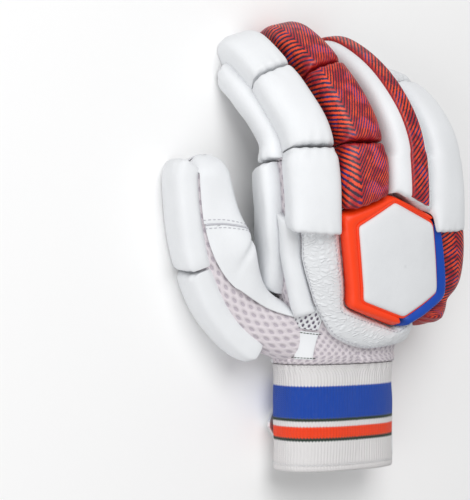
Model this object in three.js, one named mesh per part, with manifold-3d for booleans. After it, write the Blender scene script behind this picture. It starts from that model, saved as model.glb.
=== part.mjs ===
// A right-hand cricket batting glove, lying palm down on its cuff, its thumb and its fingertips.
// Millimetres, +Z up, +Y from the cuff to the fingertips, +X to the little finger's side.
import * as THREE from "three";
import { mergeVertices } from "three/addons/utils/BufferGeometryUtils.js";
import Module from "manifold-3d";

// Clearances and thicknesses of the soft goods
const clearance = 0.3; // between pieces that are sewn or laid together
const seamGap = 1; // between pads that lie side by side
const pressGap = 1; // between pads that press on each other
const faceting = 0.12; // how far a facet may stray from its neighbours
const flattening = 1.2; // how far leather is pressed flat where it rests
const stallWall = 1.6; // mesh gusset and lining of a finger
const handWall = 2; // mesh and lining of the hand
const thumbWall = 2;
const leatherWall = 1.3; // palm, finger and thumb leather
const cuffWall = 2.6; // knitted elastic
const strapThickness = 1.6;
const tabThickness = 1.8;

// Hand
const handLength = 150; // along the arched hand, from the cuff to the finger roots
const wristHalfWidth = 48;
const heelLength = 72; // the little finger's side reaches its full width this far from the wrist
const knuckleShift = 3; // the knuckles stand this far to the little finger's side of the wrist
const wristHalfHeight = 28;
const wristSquash = 5; // how far the cuff's underside is flattened where it rests
const archRise = 46; // steepness of the arched hand, degrees
const knuckleSlope = -10; // the hand runs down again at the knuckles, degrees
const knuckleRadius = 210; // the row of knuckles is an arc of this radius
const wristSquareness = 2.5; // of the sections: 2 is an ellipse, and more is boxier
const knuckleSquareness = 4.5;
const tipSquareness = 2.6;

// Fingers
const fingerPitch = 36;
const stallHalfHeight = 15;
const tipHalfHeight = 12.5;
const tipHalfWidth = 13;
const rootTaper = 30; // over this length a stall narrows from its root
const curlPower = 1.2; // how late a finger curls
// splay in degrees; narrow is the stall's width beside the middle finger's; reach is how far its rolls run
// back over the hand; splits are where the rolls part, as shares of their length from the back
const fingers = [
  { name: "index", length: 90, splay: -20, narrow: 1, reach: 46, splits: [0.36, 0.73] },
  { name: "middle", length: 100, splay: -15.5, narrow: 1, reach: 31, splits: [0.28, 0.66] },
  { name: "ring", length: 90, splay: -10, narrow: 1, reach: 32, splits: [] },
  { name: "little", length: 71, splay: -4, narrow: 0.92, reach: 44, splits: [0.76] },
];
const frontStart = 5; // leather front's distance from the finger root

// Padded rolls on the backs of the fingers
const rollThickness = 20;
const rollWrap = 75; // angle by which a roll wraps over the fingertip, degrees
const rollTipShare = 0.88; // a roll's width at the fingertip, of its width at the root
const rollEndTaper = 9; // a roll thins over this length at its ends
const rollEndShare = 0.5; // thickness left at an end
const rollEdgeShare = 0.25; // thickness left along its sides
const rollBase = 0.4; // how low its underside reaches, as a share of the stall's half height
const ringStripWidth = 14;
const ringStripThickness = 2.5;
const ringStripShift = 2; // to the little finger's side of the ring finger's middle

// Cuff, strap and tab
const cuffLength = 77;
const strapWidth = 52;
const strapSetback = 6; // from the cuff's free edge to the strap
const tabPoint = 30; // the tab's end narrows to a point over this length

// Back pads, laid out along the hand and around it
const plateHalfLength = 39;
const plateHalfWidth = 31;
const plateAlong = 85; // middle of the plate, from the wrist
const plateAround = 12; // middle of the plate, from the middle of the back to the little finger's side
const plateThickness = 15;
const borderWidth = 11;
const borderEndGap = 0.03; // between the borders and the corner where they meet, as a share of a side
const borderStart = 1; // the corner where the blue border starts
const borderChange = 3; // the corner where it ends and the orange one starts
const outerPadFrom = 1.05; // places on the plate's outline, counted in corners
const outerPadTo = 2.45;
const outerPadWidth = 25;
const outerPadThickness = 20;
const gauntletThickness = 9;
// across and along are shares of the plate's half width and half length
// border is a share of the border's width
const plateCorners = [
  { across: -0.25, along: 1, border: 0.3 },
  { across: 0.7, along: 0.68, border: 0.5 },
  { across: 1, along: -0.55, border: 1 },
  { across: 0.22, along: -1, border: 0.9 },
  { across: -0.85, along: -0.65, border: 0.9 },
  { across: -1.05, along: 0.62, border: 1 },
];
// corner is a place on the plate's outline; across and along are the outer edge there, as shares of the plate
const gauntletEdge = [
  { corner: 5.2, across: -2.35, along: 0.6 },
  { corner: 4.6, across: -2.25, along: 0 },
  { corner: 4, across: -1.9, along: -0.8 },
  { corner: 3.6, across: -1.3, along: -1.45 },
  { corner: 3, across: -0.2, along: -1.8 },
  { corner: 2.55, across: 1.1, along: -1.75 },
];

// Pads on the thumb side of the hand
const sideBarLength = 98; // back from the finger roots
const sideBarWidth = 26;
const sideBarThickness = 15;
const sideBarAround = -86;
const sideStripHalfWidth = 11;
const sideStripShift = 2.5; // to the finger's back
const sideStripThickness = 12;
const sideTabLength = 24;
const sideTabWidth = 13;
const sideTabThickness = 1.4;
const sideTabAlong = 5; // from the wrist
const sideTabAround = -43;

// Thumb
const thumbLength = 160;
const thumbStartX = -38;
const thumbStartAlong = 22;
const thumbRootYaw = 85; // its heading at the root, turned from +Y to -X, degrees
const thumbTipYaw = 4;
const thumbTurn = 1.7; // how late the thumb turns forward
const thumbRoll = -12; // the thumb's back faces -X, turned down by this angle, degrees
const thumbRootHalfWidth = 20;
const thumbTipHalfWidth = 17;
const thumbRootHalfHeight = 20;
const thumbTipHalfHeight = 15;
const thumbSlimShare = 0.8; // it has thinned to its tip's height by this share of its length
const thumbSettleShare = 0.4; // it has come down to the surface by this share
const guardThickness = 12;
const guardHalfWidth = 18;
const guardEdge = 0.3; // thickness left along the guard's edges, as a share
const guardWrap = 40; // degrees over the tip
const guardStart = 26; // from the thumb's root
const guardSplit = 0.47; // where the guard's two pads part, as a share of its length

const wasm = await Module();
wasm.setup();
const radians = THREE.MathUtils.degToRad;
const mix = THREE.MathUtils.lerp;
const clamp = THREE.MathUtils.clamp;
const smooth = (x) => THREE.MathUtils.smoothstep(x, 0, 1);
const vector = (x, y, z) => new THREE.Vector3(x, y, z);
const cuffRest = strapThickness + tabThickness + 2 * clearance; // height of the cuff's flattened underside
const wristHeight = cuffRest - wristSquash + wristHalfHeight;
const rootHalfWidth = (fingerPitch - seamGap) / 2;
const knuckleHalfWidth = 1.5 * fingerPitch + rootHalfWidth;
const walkStep = 1;

// A path from its heading: short steps, summed, with straight stretches between them.
function walk(start, length, heading) {
  const count = Math.ceil(length / walkStep);
  const step = length / count;
  const points = [start.clone()];
  for (let i = 0; i < count; i++) {
    points.push(points[i].clone().addScaledVector(heading((i + 0.5) * step), step));
  }
  return (s) => {
    const at = clamp(s / step, 0, count);
    const i = Math.min(Math.floor(at), count - 1);
    return points[i].clone().lerp(points[i + 1], at - i);
  };
}

// The unit superellipse's point at angle v, in degrees.
function superellipse(v, squareness) {
  const power = 2 / squareness;
  const c = Math.cos(radians(v));
  const s = Math.sin(radians(v));
  return [Math.sign(c) * Math.abs(c) ** power, Math.sign(s) * Math.abs(s) ** power];
}

// The height of the unit superellipse above a place across it.
const superellipseTop = (x, squareness) => Math.max(1 - Math.abs(x) ** squareness, 0) ** (1 / squareness);

// A closed solid between two grids of points, outer(i, j) and inner(i, j). The grid may wrap round on itself
// in j, and may close to one point at its last i.
function slab({ along, around, outer, inner, wraps = false, closes = false }) {
  const columns = wraps ? around : around + 1;
  const positions = [];
  const triangles = [];
  const grids = [outer, inner].map((point) => {
    const rows = [];
    for (let i = 0; i <= along; i++) {
      const row = [];
      const single = closes && i === along;
      for (let j = 0; j < (single ? 1 : columns); j++) {
        row.push(positions.length / 3);
        positions.push(...point(i, j).toArray());
      }
      rows.push(row);
    }
    return (i, j) => rows[i][rows[i].length === 1 ? 0 : j % columns];
  });
  const quad = (a, b, c, d) => {
    if (a !== b && b !== c && a !== c) triangles.push(a, b, c);
    if (a !== c && c !== d && a !== d) triangles.push(a, c, d);
  };
  const [top, bottom] = grids;
  for (let i = 0; i < along; i++) {
    for (let j = 0; j < around; j++) {
      quad(top(i, j), top(i, j + 1), top(i + 1, j + 1), top(i + 1, j));
      quad(bottom(i, j), bottom(i + 1, j), bottom(i + 1, j + 1), bottom(i, j + 1));
    }
  }
  for (let j = 0; j < around; j++) {
    quad(top(0, j), bottom(0, j), bottom(0, j + 1), top(0, j + 1));
    if (!closes) quad(top(along, j), top(along, j + 1), bottom(along, j + 1), bottom(along, j));
  }
  for (let i = 0; i < along && !wraps; i++) {
    quad(top(i, 0), top(i + 1, 0), bottom(i + 1, 0), bottom(i, 0));
    quad(top(i, around), bottom(i, around), bottom(i + 1, around), top(i + 1, around));
  }
  return facing(positions, triangles);
}

// A filled solid through rings of points, closed with a fan at each end.
function loft(rings) {
  const count = rings[0].length;
  const positions = rings.flat().flatMap((p) => p.toArray());
  const triangles = [];
  const at = (i, j) => i * count + (j % count);
  for (let i = 0; i < rings.length - 1; i++) {
    for (let j = 0; j < count; j++) {
      triangles.push(at(i, j), at(i, j + 1), at(i + 1, j + 1), at(i, j), at(i + 1, j + 1), at(i + 1, j));
    }
  }
  for (const [i, turn] of [[0, 1], [rings.length - 1, -1]]) {
    const pole = positions.length / 3;
    const middle = rings[i].reduce((sum, p) => sum.add(p), vector(0, 0, 0)).divideScalar(count);
    positions.push(...middle.toArray());
    for (let j = 0; j < count; j++) {
      triangles.push(pole, ...(turn > 0 ? [at(i, j + 1), at(i, j)] : [at(i, j), at(i, j + 1)]));
    }
  }
  return facing(positions, triangles);
}

// The solid of a closed surface, with its faces turned outward.
function facing(positions, triangles) {
  let volume = 0;
  const corner = (k) => vector(...positions.slice(3 * k, 3 * k + 3));
  for (let i = 0; i < triangles.length; i += 3) {
    const [a, b, c] = [0, 1, 2].map((k) => corner(triangles[i + k]));
    volume += a.dot(b.cross(c));
  }
  const order = volume > 0 ? triangles : triangles.toReversed();
  const geometry = new THREE.BufferGeometry();
  geometry.setAttribute("position", new THREE.Float32BufferAttribute(positions, 3));
  geometry.setIndex(order);
  const merged = mergeVertices(geometry, 1e-4);
  return new wasm.Manifold(
    new wasm.Mesh({
      numProp: 3,
      vertProperties: new Float32Array(merged.attributes.position.array),
      triVerts: new Uint32Array(merged.index.array),
    })
  );
}

// The biggest body of a solid, without the slivers that a cut may leave.
function body(solid) {
  const parts = solid.simplify(faceting).decompose();
  return parts.reduce((best, part) => (part.volume() > best.volume() ? part : best));
}
const onFloor = (solid) => solid.trimByPlane([0, 0, 1], 0);

// The hand's spine rises from the flat wrist and comes down a little at the knuckles.
function spineSlope(t) {
  const u = t / handLength;
  return radians(2 * archRise * u * (1 - u) + knuckleSlope * u * u);
}
const spineHeading = (t) => vector(0, Math.cos(spineSlope(t)), Math.sin(spineSlope(t)));
const spineNormal = (t) => vector(0, -Math.sin(spineSlope(t)), Math.cos(spineSlope(t)));
const spine = walk(vector(0, 0, wristHeight), handLength, spineHeading);

const heelSide = (t) => mix(wristHalfWidth, knuckleHalfWidth + knuckleShift, smooth(t / heelLength));
const thumbSide = (t) => mix(wristHalfWidth, knuckleHalfWidth - knuckleShift, smooth(t / handLength));
const handHalfWidth = (t) => (heelSide(t) + thumbSide(t)) / 2;
const handShift = (t) => (heelSide(t) - thumbSide(t)) / 2;
const handHalfHeight = (t) => mix(wristHalfHeight, stallHalfHeight, smooth(t / handLength));
const handSquareness = (t) => mix(wristSquareness, knuckleSquareness, smooth(t / handLength));
const handArch = (t) => Math.max(smooth(t / handLength) / knuckleRadius, 1e-6);

// A point of the hand: t along the spine, w across it and n above it, bent over the arc of the knuckles.
function handPoint(t, w, n) {
  const k = handArch(t);
  const across = (1 / k + n) * Math.sin(k * w);
  const up = (1 / k + n) * Math.cos(k * w) - 1 / k;
  return spine(t).addScaledVector(spineNormal(t), up).add(vector(across + handShift(t), 0, 0));
}

// The hand's outside at angle v, grown by offset, and flattened where the wrist lies on the strap.
function handSkin(t, v, offset) {
  const [c, s] = superellipse(v, handSquareness(t));
  const p = handPoint(t, c * (handHalfWidth(t) + offset), s * (handHalfHeight(t) + offset));
  p.z = Math.max(p.z, cuffRest - offset);
  return p;
}

// The angle at a distance around the hand, from the middle of its back to the little finger's side.
function angleAround(t, distance) {
  const [sign, target] = [Math.sign(distance), Math.abs(distance)];
  const [w, h, power] = [handHalfWidth(t), handHalfHeight(t), handSquareness(t)];
  let length = 0;
  let last = [0, h];
  for (let v = 89; v > -90; v--) {
    const [c, s] = superellipse(v, power);
    const step = Math.hypot(c * w - last[0], s * h - last[1]);
    if (length + step >= target) {
      const angle = v + 1 - (target - length) / step;
      return sign >= 0 ? angle : 180 - angle;
    }
    length += step;
    last = [c * w, s * h];
  }
  return sign >= 0 ? -90 : 270;
}
const backPoint = (t, around, height) => handSkin(t, angleAround(t, around), height);

// A finger's frames: its centre line runs on from the hand's spine and curls down by degrees.
function makeFinger(finger, row, endCurl) {
  const w = (row - 1.5) * fingerPitch;
  const tilt = w / knuckleRadius;
  const ahead = spineHeading(handLength);
  const up = spineNormal(handLength);
  const sideways = vector(1, 0, 0);
  const back = up.clone().multiplyScalar(Math.cos(tilt)).addScaledVector(sideways, Math.sin(tilt));
  const across = sideways.clone().multiplyScalar(Math.cos(tilt)).addScaledVector(up, -Math.sin(tilt));
  const domeStart = finger.length - tipHalfHeight;

  function frame(s) {
    const along = clamp(s, 0, domeStart);
    const splay = radians(finger.splay) * smooth(along / rootTaper);
    const curl = radians(endCurl) * (along / domeStart) ** curlPower;
    const level = ahead.clone().multiplyScalar(Math.cos(splay)).addScaledVector(across, Math.sin(splay));
    return {
      T: level.clone().multiplyScalar(Math.cos(curl)).addScaledVector(back, -Math.sin(curl)),
      N: level.clone().multiplyScalar(Math.sin(curl)).addScaledVector(back, Math.cos(curl)),
      B: across.clone().multiplyScalar(Math.cos(splay)).addScaledVector(ahead, -Math.sin(splay)),
    };
  }

  const centre = walk(handPoint(handLength, w, 0), domeStart, (s) => frame(s).T);
  const halfWidth = (s) => mix(rootHalfWidth, tipHalfWidth * finger.narrow, smooth(s / rootTaper));
  const halfHeight = (s) => mix(stallHalfHeight, tipHalfHeight, smooth(s / domeStart));
  // Past the start of the fingertip's dome, the back direction turns over the tip instead of moving on.
  function backOf(s, b, n) {
    if (s < 0) return handPoint(handLength + s, w + b, n);
    const { T, N, B } = frame(s);
    const turn = Math.max(s - domeStart, 0) / tipHalfHeight;
    return centre(s)
      .addScaledVector(B, b)
      .addScaledVector(N, n * Math.cos(turn))
      .addScaledVector(T, n * Math.sin(turn));
  }
  // The stall's outside at angle v, grown by offset; its dome is a rounded cap.
  function skin(s, v, offset) {
    const { T, N, B } = frame(s);
    const dome = clamp((s - domeStart) / tipHalfHeight, 0, 1);
    const shrink = Math.sqrt(1 - dome * dome);
    const [c, h] = superellipse(v, mix(knuckleSquareness, tipSquareness, smooth(s / rootTaper)));
    return centre(s)
      .addScaledVector(T, dome * (tipHalfHeight + offset))
      .addScaledVector(B, c * (halfWidth(s) + offset) * shrink)
      .addScaledVector(N, h * (halfHeight(s) + offset) * shrink);
  }
  return { ...finger, row, w, endCurl, domeStart, frame, centre, halfWidth, halfHeight, backOf, skin };
}

const rollLength = (finger) => finger.reach + finger.domeStart + radians(rollWrap) * tipHalfHeight;
const endTaper = (distance, taper) => mix(rollEndShare, 1, Math.sqrt(smooth(distance / taper)));

// The lowest point of a fingertip with its roll wrapped over it.
function tipBottom(finger) {
  const heights = [];
  for (let turn = 0; turn <= rollWrap; turn += 3) {
    const s = finger.domeStart + radians(turn) * tipHalfHeight;
    const thickness = rollThickness * endTaper(radians(rollWrap - turn) * tipHalfHeight, rollEndTaper);
    heights.push(finger.backOf(s, 0, tipHalfHeight + clearance + thickness).z);
  }
  return Math.min(...heights);
}

// A finger curls until its tip lies on the surface: the end angle is found by halving.
function restFinger(finger, row) {
  let [low, high] = [10, 130];
  for (let i = 0; i < 24; i++) {
    const middle = (low + high) / 2;
    if (tipBottom(makeFinger(finger, row, middle)) > -flattening) low = middle;
    else high = middle;
  }
  return makeFinger(finger, row, low);
}
const hand = fingers.map(restFinger);

// The thumb leaves the hand's side, turns forward and lies on its edge. Its back faces the thumb side.
const thumbDomeStart = thumbLength - thumbTipHalfHeight;
const thumbYaw = (s) => {
  const left = 1 - clamp(s / thumbDomeStart, 0, 1);
  return radians(mix(thumbTipYaw, thumbRootYaw, left ** thumbTurn));
};
const thumbHalfWidth = (s) => mix(thumbRootHalfWidth, thumbTipHalfWidth, smooth(s / thumbDomeStart));
const thumbHalfHeight = (s) => {
  const slimmed = smooth(s / (thumbSlimShare * thumbDomeStart));
  return mix(thumbRootHalfHeight, thumbTipHalfHeight, slimmed);
};
const thumbPlan = walk(
  vector(thumbStartX, thumbStartAlong, 0),
  thumbDomeStart,
  (s) => vector(-Math.sin(thumbYaw(s)), Math.cos(thumbYaw(s)), 0)
);
const thumbRestHeight = (s) => {
  const tilt = radians(thumbRoll);
  const edge = thumbHalfHeight(s) + clearance + guardEdge * guardThickness;
  return guardHalfWidth * Math.cos(tilt) - edge * Math.sin(tilt) - flattening;
};
const thumb = {
  domeStart: thumbDomeStart,
  halfWidth: thumbHalfWidth,
  halfHeight: thumbHalfHeight,
  frame(s) {
    const yaw = thumbYaw(s);
    const side = vector(-Math.cos(yaw), -Math.sin(yaw), 0);
    const tilt = radians(thumbRoll);
    return {
      T: vector(-Math.sin(yaw), Math.cos(yaw), 0),
      N: side.clone().multiplyScalar(Math.cos(tilt)).add(vector(0, 0, Math.sin(tilt))),
      B: side.clone().multiplyScalar(-Math.sin(tilt)).add(vector(0, 0, Math.cos(tilt))),
    };
  },
  centre(s) {
    const p = thumbPlan(s);
    p.z = mix(wristHeight, thumbRestHeight(s), smooth(s / (thumbSettleShare * thumbDomeStart)));
    return p;
  },
  backOf(s, b, n) {
    const { T, N, B } = thumb.frame(s);
    const turn = Math.max(s - thumbDomeStart, 0) / thumbTipHalfHeight;
    return thumb
      .centre(s)
      .addScaledVector(B, b)
      .addScaledVector(N, n * Math.cos(turn))
      .addScaledVector(T, n * Math.sin(turn));
  },
  skin(s, v, offset) {
    const { T, N, B } = thumb.frame(s);
    const dome = clamp((s - thumbDomeStart) / thumbTipHalfHeight, 0, 1);
    const shrink = Math.sqrt(1 - dome * dome);
    const [c, h] = superellipse(v, tipSquareness);
    return thumb
      .centre(s)
      .addScaledVector(T, dome * (thumbTipHalfHeight + offset))
      .addScaledVector(B, c * (thumbHalfWidth(s) + offset) * shrink)
      .addScaledVector(N, h * (thumbHalfHeight(s) + offset) * shrink);
  },
};

// Stations along a stall or the thumb: even steps to the dome, then the dome's own.
const domeShares = [0.45, 0.8, 1];
function stations(limb, tip, start, steps) {
  const even = Array.from({ length: steps + 1 }, (_, i) => mix(start, limb.domeStart, i / steps));
  return [...even, ...domeShares.map((share) => limb.domeStart + share * tip)];
}
const around = (sides, j) => (360 * j) / sides;

// A hollow limb, open at its root and closed at its dome.
function hollowLimb(limb, rows, sides, wall) {
  return slab({
    along: rows.length - 1,
    around: sides,
    outer: (i, j) => limb.skin(rows[i], around(sides, j), 0),
    inner: (i, j) => limb.skin(rows[i], around(sides, j), -wall),
    wraps: true,
    closes: true,
  });
}

// The same limb filled, grown by offset, to cut what lies against it.
function filledLimb(limb, rows, sides, offset) {
  const almostTip = limb.domeStart + 0.999 * (rows.at(-1) - limb.domeStart);
  const ends = [...rows.slice(0, -1), almostTip];
  const section = (s) => Array.from({ length: sides }, (_, j) => limb.skin(s, around(sides, j), offset));
  return loft(ends.map(section));
}

// Leather laid on a limb, facet on facet, from one angle to the next.
function leatherOn(limb, rows, sides, from, to) {
  return slab({
    along: rows.length - 1,
    around: to - from,
    outer: (i, j) => limb.skin(rows[i], around(sides, from + j), clearance + leatherWall),
    inner: (i, j) => limb.skin(rows[i], around(sides, from + j), clearance),
  });
}

// A padded roll on the back of a limb: crowned across, thinner at its ends, reaching down over its shoulders.
const crown = (share, edge) => mix(edge, 1, superellipseTop(share, tipSquareness));
function roll(limb, { from, to, halfWidth, thickness, grow = 0, edge = rollEdgeShare }) {
  const along = Math.max(4, Math.round((to - from) / 12));
  const columns = 7;
  const share = (j) => Math.sin((Math.PI / 2) * ((2 * j) / columns - 1));
  const at = (i) => mix(from - grow, to + grow, i / along);
  const place = (i, j, n) => limb.backOf(at(i), share(j) * (halfWidth(at(i)) + grow), n);
  return slab({
    along,
    around: columns,
    outer: (i, j) => {
      const s = at(i);
      const taper = endTaper(Math.min(s - from, to - s), rollEndTaper);
      const rise = thickness(s) * taper * crown(share(j), edge);
      return place(i, j, limb.halfHeight(s) + clearance + rise + grow);
    },
    inner: (i, j) => place(i, j, rollBase * limb.halfHeight(at(i)) - grow),
  });
}

const whiteLeather = { color: 0xeceff0, roughness: 0.5 };
const lining = { color: 0xe4dcdf, roughness: 0.9 };
const knit = { color: 0xe2e0dd, roughness: 0.95 };
const patterned = { color: 0xb02a2a, roughness: 0.6 };
const orange = { color: 0xff4511, roughness: 0.55 };
const blue = { color: 0x0b45b8, roughness: 0.55 };

const group = new THREE.Group();
function piece(name, solid, finish) {
  const mesh = solid.getMesh();
  const geometry = new THREE.BufferGeometry();
  geometry.setAttribute("position", new THREE.BufferAttribute(mesh.vertProperties, 3));
  geometry.setIndex(new THREE.BufferAttribute(mesh.triVerts, 1));
  const made = new THREE.Mesh(geometry, new THREE.MeshStandardMaterial({ ...finish, metalness: 0 }));
  made.name = name;
  group.add(made);
}

// The hand: a hollow tube from the wrist to the finger roots
const handRows = 8;
const handSides = 24;
const handRow = (i) => mix(clearance, handLength - clearance, i / handRows);
function handSolid(offset) {
  const rings = Array.from({ length: handRows + 1 }, (_, i) =>
    Array.from({ length: handSides }, (_, j) => handSkin(handRow(i), around(handSides, j), offset))
  );
  return loft(rings);
}
const handTube = slab({
  along: handRows,
  around: handSides,
  outer: (i, j) => handSkin(handRow(i), around(handSides, j), 0),
  inner: (i, j) => handSkin(handRow(i), around(handSides, j), -handWall),
  wraps: true,
});
const handGrown = handSolid(clearance);
const thumbSides = 14;
const thumbRows = stations(thumb, thumbTipHalfHeight, 0, 7);
const thumbTube = hollowLimb(thumb, thumbRows, thumbSides, thumbWall);
const thumbGrown = filledLimb(thumb, thumbRows, thumbSides, clearance);
const thumbCore = filledLimb(thumb, thumbRows, thumbSides, -thumbWall);
const overLeather = leatherWall + 2 * clearance;
const thumbOverLeather = filledLimb(thumb, thumbRows, thumbSides, overLeather);
piece("hand_shell", body(handTube.subtract(thumbCore)), lining);

// The leather palm stops short of the finger roots and leaves room for the thumb
const palmFrom = 13;
const palmTo = 23;
const palmLayer = (from, to, low, high) =>
  slab({
    along: handRows,
    around: to - from,
    outer: (i, j) => handSkin(handRow(i), around(handSides, from + j), high),
    inner: (i, j) => handSkin(handRow(i), around(handSides, from + j), low),
  });
const palm = palmLayer(palmFrom, palmTo, clearance, clearance + leatherWall);
const palmGrown = palmLayer(palmFrom - 1, palmTo + 1, -clearance, overLeather);
piece("palm_leather", body(palm.subtract(thumbOverLeather)), whiteLeather);

// Finger stalls, their leather fronts and their rolls
const stallSides = 14;
const frontFrom = 9;
const frontTo = 12;
const stalls = hand.map((finger) => {
  const rows = stations(finger, tipHalfHeight, clearance, 4);
  return {
    finger,
    rows,
    tube: hollowLimb(finger, rows, stallSides, stallWall),
    grown: filledLimb(finger, rows, stallSides, clearance),
  };
});
const grownStalls = stalls.map((stall) => stall.grown);

function rollsOf(finger) {
  const length = rollLength(finger);
  const ends = [0, ...finger.splits, 1].map((share) => share * length - finger.reach);
  const half = (s) => rootHalfWidth * mix(1, rollTipShare, smooth(s / finger.domeStart));
  const limb = {
    ...finger,
    halfHeight: (s) => (s < 0 ? handHalfHeight(handLength + s) : finger.halfHeight(s)),
  };
  const options = { halfWidth: half, thickness: () => rollThickness };
  return ends.slice(1).map((to, i) => {
    const gap = seamGap / 2;
    const range = { from: ends[i] + (i > 0 ? gap : 0), to: to - (i < ends.length - 2 ? gap : 0) };
    return (grow) => roll(limb, { ...options, ...range, grow });
  });
}

// The ring finger's narrow strip lies along the crown of its roll
const ring = hand[2];
function ringStrip() {
  const along = 12;
  const ends = [0, 1].map((end) => mix(-ring.reach, rollLength(ring) - ring.reach, end));
  const margin = rollEndTaper / 2;
  const at = (i) => mix(ends[0] + margin, ends[1] - margin, i / along);
  const width = (j) => ringStripShift + (ringStripWidth / 2) * (j - 1);
  const height = (i) => (at(i) < 0 ? handHalfHeight(handLength + at(i)) : ring.halfHeight(at(i)));
  const crownHeight = (i) => {
    const taper = endTaper(Math.min(at(i) - ends[0], ends[1] - at(i)), rollEndTaper);
    return height(i) + clearance + rollThickness * taper;
  };
  return slab({
    along,
    around: 2,
    outer: (i, j) => ring.backOf(at(i), width(j), crownHeight(i) + ringStripThickness * (j === 1 ? 1 : 0.4)),
    inner: (i, j) => ring.backOf(at(i), width(j), crownHeight(i) - rollThickness / 4),
  });
}

const cutAll = (solid, cutters) => cutters.reduce((left, cutter) => left.subtract(cutter), solid);
const order = [1, 0, 2, 3];
const pressedRolls = [];
const rolls = new Map();
for (const row of order) {
  const made = rollsOf(hand[row]).map((build) => {
    const cut = cutAll(build(0), [...grownStalls, handGrown, ...pressedRolls]);
    return { solid: body(onFloor(cut)), close: build(clearance), grown: build(pressGap) };
  });
  pressedRolls.push(...made.map((one) => one.grown));
  rolls.set(hand[row].name, made);
}
for (const { finger, rows, tube } of stalls) {
  piece(`${finger.name}_stall`, body(onFloor(tube)), lining);
  const frontRows = [frontStart, ...rows.slice(1, -1)];
  const front = leatherOn(finger, frontRows, stallSides, frontFrom, frontTo);
  piece(`${finger.name}_front`, body(onFloor(cutAll(front, pressedRolls))), whiteLeather);
  rolls.get(finger.name).forEach(({ solid }, i) => {
    const single = finger.splits.length === 0;
    const finish = finger.name === "middle" ? patterned : whiteLeather;
    piece(single ? `${finger.name}_roll` : `${finger.name}_roll_${i + 1}`, solid, finish);
  });
}

const stripCut = [rolls.get("ring")[0].close, ...rolls.get("middle").map((one) => one.grown)];
piece("ring_strip", body(onFloor(cutAll(ringStrip(), stripCut))), patterned);

// The thumb, cut where it meets the hand, with its leather and its guard
const aboveWrist = (solid) => solid.trimByPlane([0, 1, 0], clearance);
const trimThumb = (solid) => body(onFloor(aboveWrist(solid.subtract(handGrown))));
piece("thumb_stall", trimThumb(thumbTube), lining);
const guardEnd = thumb.domeStart + radians(guardWrap) * thumbTipHalfHeight;
const guardMiddle = mix(guardStart, guardEnd, guardSplit);
const guardOptions = {
  halfWidth: () => guardHalfWidth,
  thickness: () => guardThickness,
  edge: guardEdge,
};
const guards = [
  { name: "thumb_guard_lower", from: guardStart, to: guardMiddle - seamGap / 2 },
  { name: "thumb_guard_upper", from: guardMiddle + seamGap / 2, to: guardEnd },
].map(({ name, from, to }) => ({
  name,
  solid: roll(thumb, { ...guardOptions, from, to }),
  grown: roll(thumb, { ...guardOptions, from, to, grow: pressGap }),
}));
const grownGuards = guards.map((guard) => guard.grown);
for (const { name, solid } of guards) piece(name, trimThumb(solid.subtract(thumbGrown)), whiteLeather);

const capRow = 5;
const cap = leatherOn(thumb, thumbRows.slice(capRow, -1), thumbSides, 8, 15);
piece("thumb_cap", trimThumb(cutAll(cap, grownGuards)), whiteLeather);
const gussetRows = [...thumbRows.slice(0, capRow), thumbRows[capRow] - seamGap];
const gusset = leatherOn(thumb, gussetRows, thumbSides, 8, 13);
piece("thumb_leather", trimThumb(cutAll(gusset, grownGuards)), whiteLeather);

// Back plate: a six-sided outline on the back of the hand, with rings of padding around it
function onOutline(place, outward) {
  const at = place % plateCorners.length;
  const from = plateCorners[Math.floor(at)];
  const to = plateCorners[(Math.floor(at) + 1) % plateCorners.length];
  const [across, along, border] = ["across", "along", "border"].map((key) => mix(from[key], to[key], at % 1));
  const reach = outward(border);
  return [plateAlong + along * (plateHalfLength + reach), plateAround + across * (plateHalfWidth + reach)];
}
const sunk = -1.5; // pads start below the hand's skin and are then cut to it
const plateRings = [
  { share: 1, height: 0.6 },
  { share: 0.9, height: 0.95 },
  { share: 0.55, height: 1 },
  { share: 0, height: 1 },
];
const plateSides = 18;
function plate(grow) {
  const point = (i, j, height) => {
    const [along, across] = onOutline((plateCorners.length * j) / plateSides, () => grow);
    const { share } = plateRings[i];
    return backPoint(mix(plateAlong, along, share), mix(plateAround, across, share), height);
  };
  return slab({
    along: plateRings.length - 1,
    around: plateSides,
    outer: (i, j) => point(i, j, plateThickness * plateRings[i].height + grow),
    inner: (i, j) => point(i, j, sunk),
    wraps: true,
    closes: true,
  });
}
const innerEdge = (border) => seamGap * Math.min(1, 3 * border);
const borderEdge = (border) => seamGap + borderWidth * border;

// A band of padding beside the outline: profile gives its height from the inner edge to the outer.
function band({ from, to, steps, inner, outer, thickness, profile, grow = 0 }) {
  const overrun = grow / plateHalfWidth;
  const place = (i) => mix(from - overrun, to + overrun, i / steps);
  const last = profile.length - 1;
  const point = (i, j, height) => {
    const [a, b] = [inner(place(i)), outer(place(i))];
    const reach = Math.hypot(b[0] - a[0], b[1] - a[1]);
    const share = mix(-grow / reach, 1 + grow / reach, j / last);
    return backPoint(mix(a[0], b[0], share), mix(a[1], b[1], share), height);
  };
  const end = (i) => (i === 0 || i === steps ? 0.75 : 1);
  return slab({
    along: steps,
    around: last,
    outer: (i, j) => point(i, j, thickness * profile[j] * end(i) + grow),
    inner: (i, j) => point(i, j, sunk),
  });
}
const between = (inner, outer) => ({
  inner: (place) => onOutline(place, inner),
  outer: (place) => onOutline(place, outer),
});
const borderRing = between(innerEdge, borderEdge);
const outerStart = (border) => borderEdge(border) + seamGap;
const outerRing = between(outerStart, (border) => outerStart(border) + outerPadWidth);
const borderArc = (start, end) => ({
  ...borderRing,
  from: start + borderEndGap,
  to: end - borderEndGap,
  steps: 3 * (end - start),
  thickness: plateThickness,
  profile: [0.75, 0.85, 0.75, 0.3],
});
const blueBorder = borderArc(borderStart, borderChange);
const orangeBorder = borderArc(borderChange, borderStart + plateCorners.length);
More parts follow.
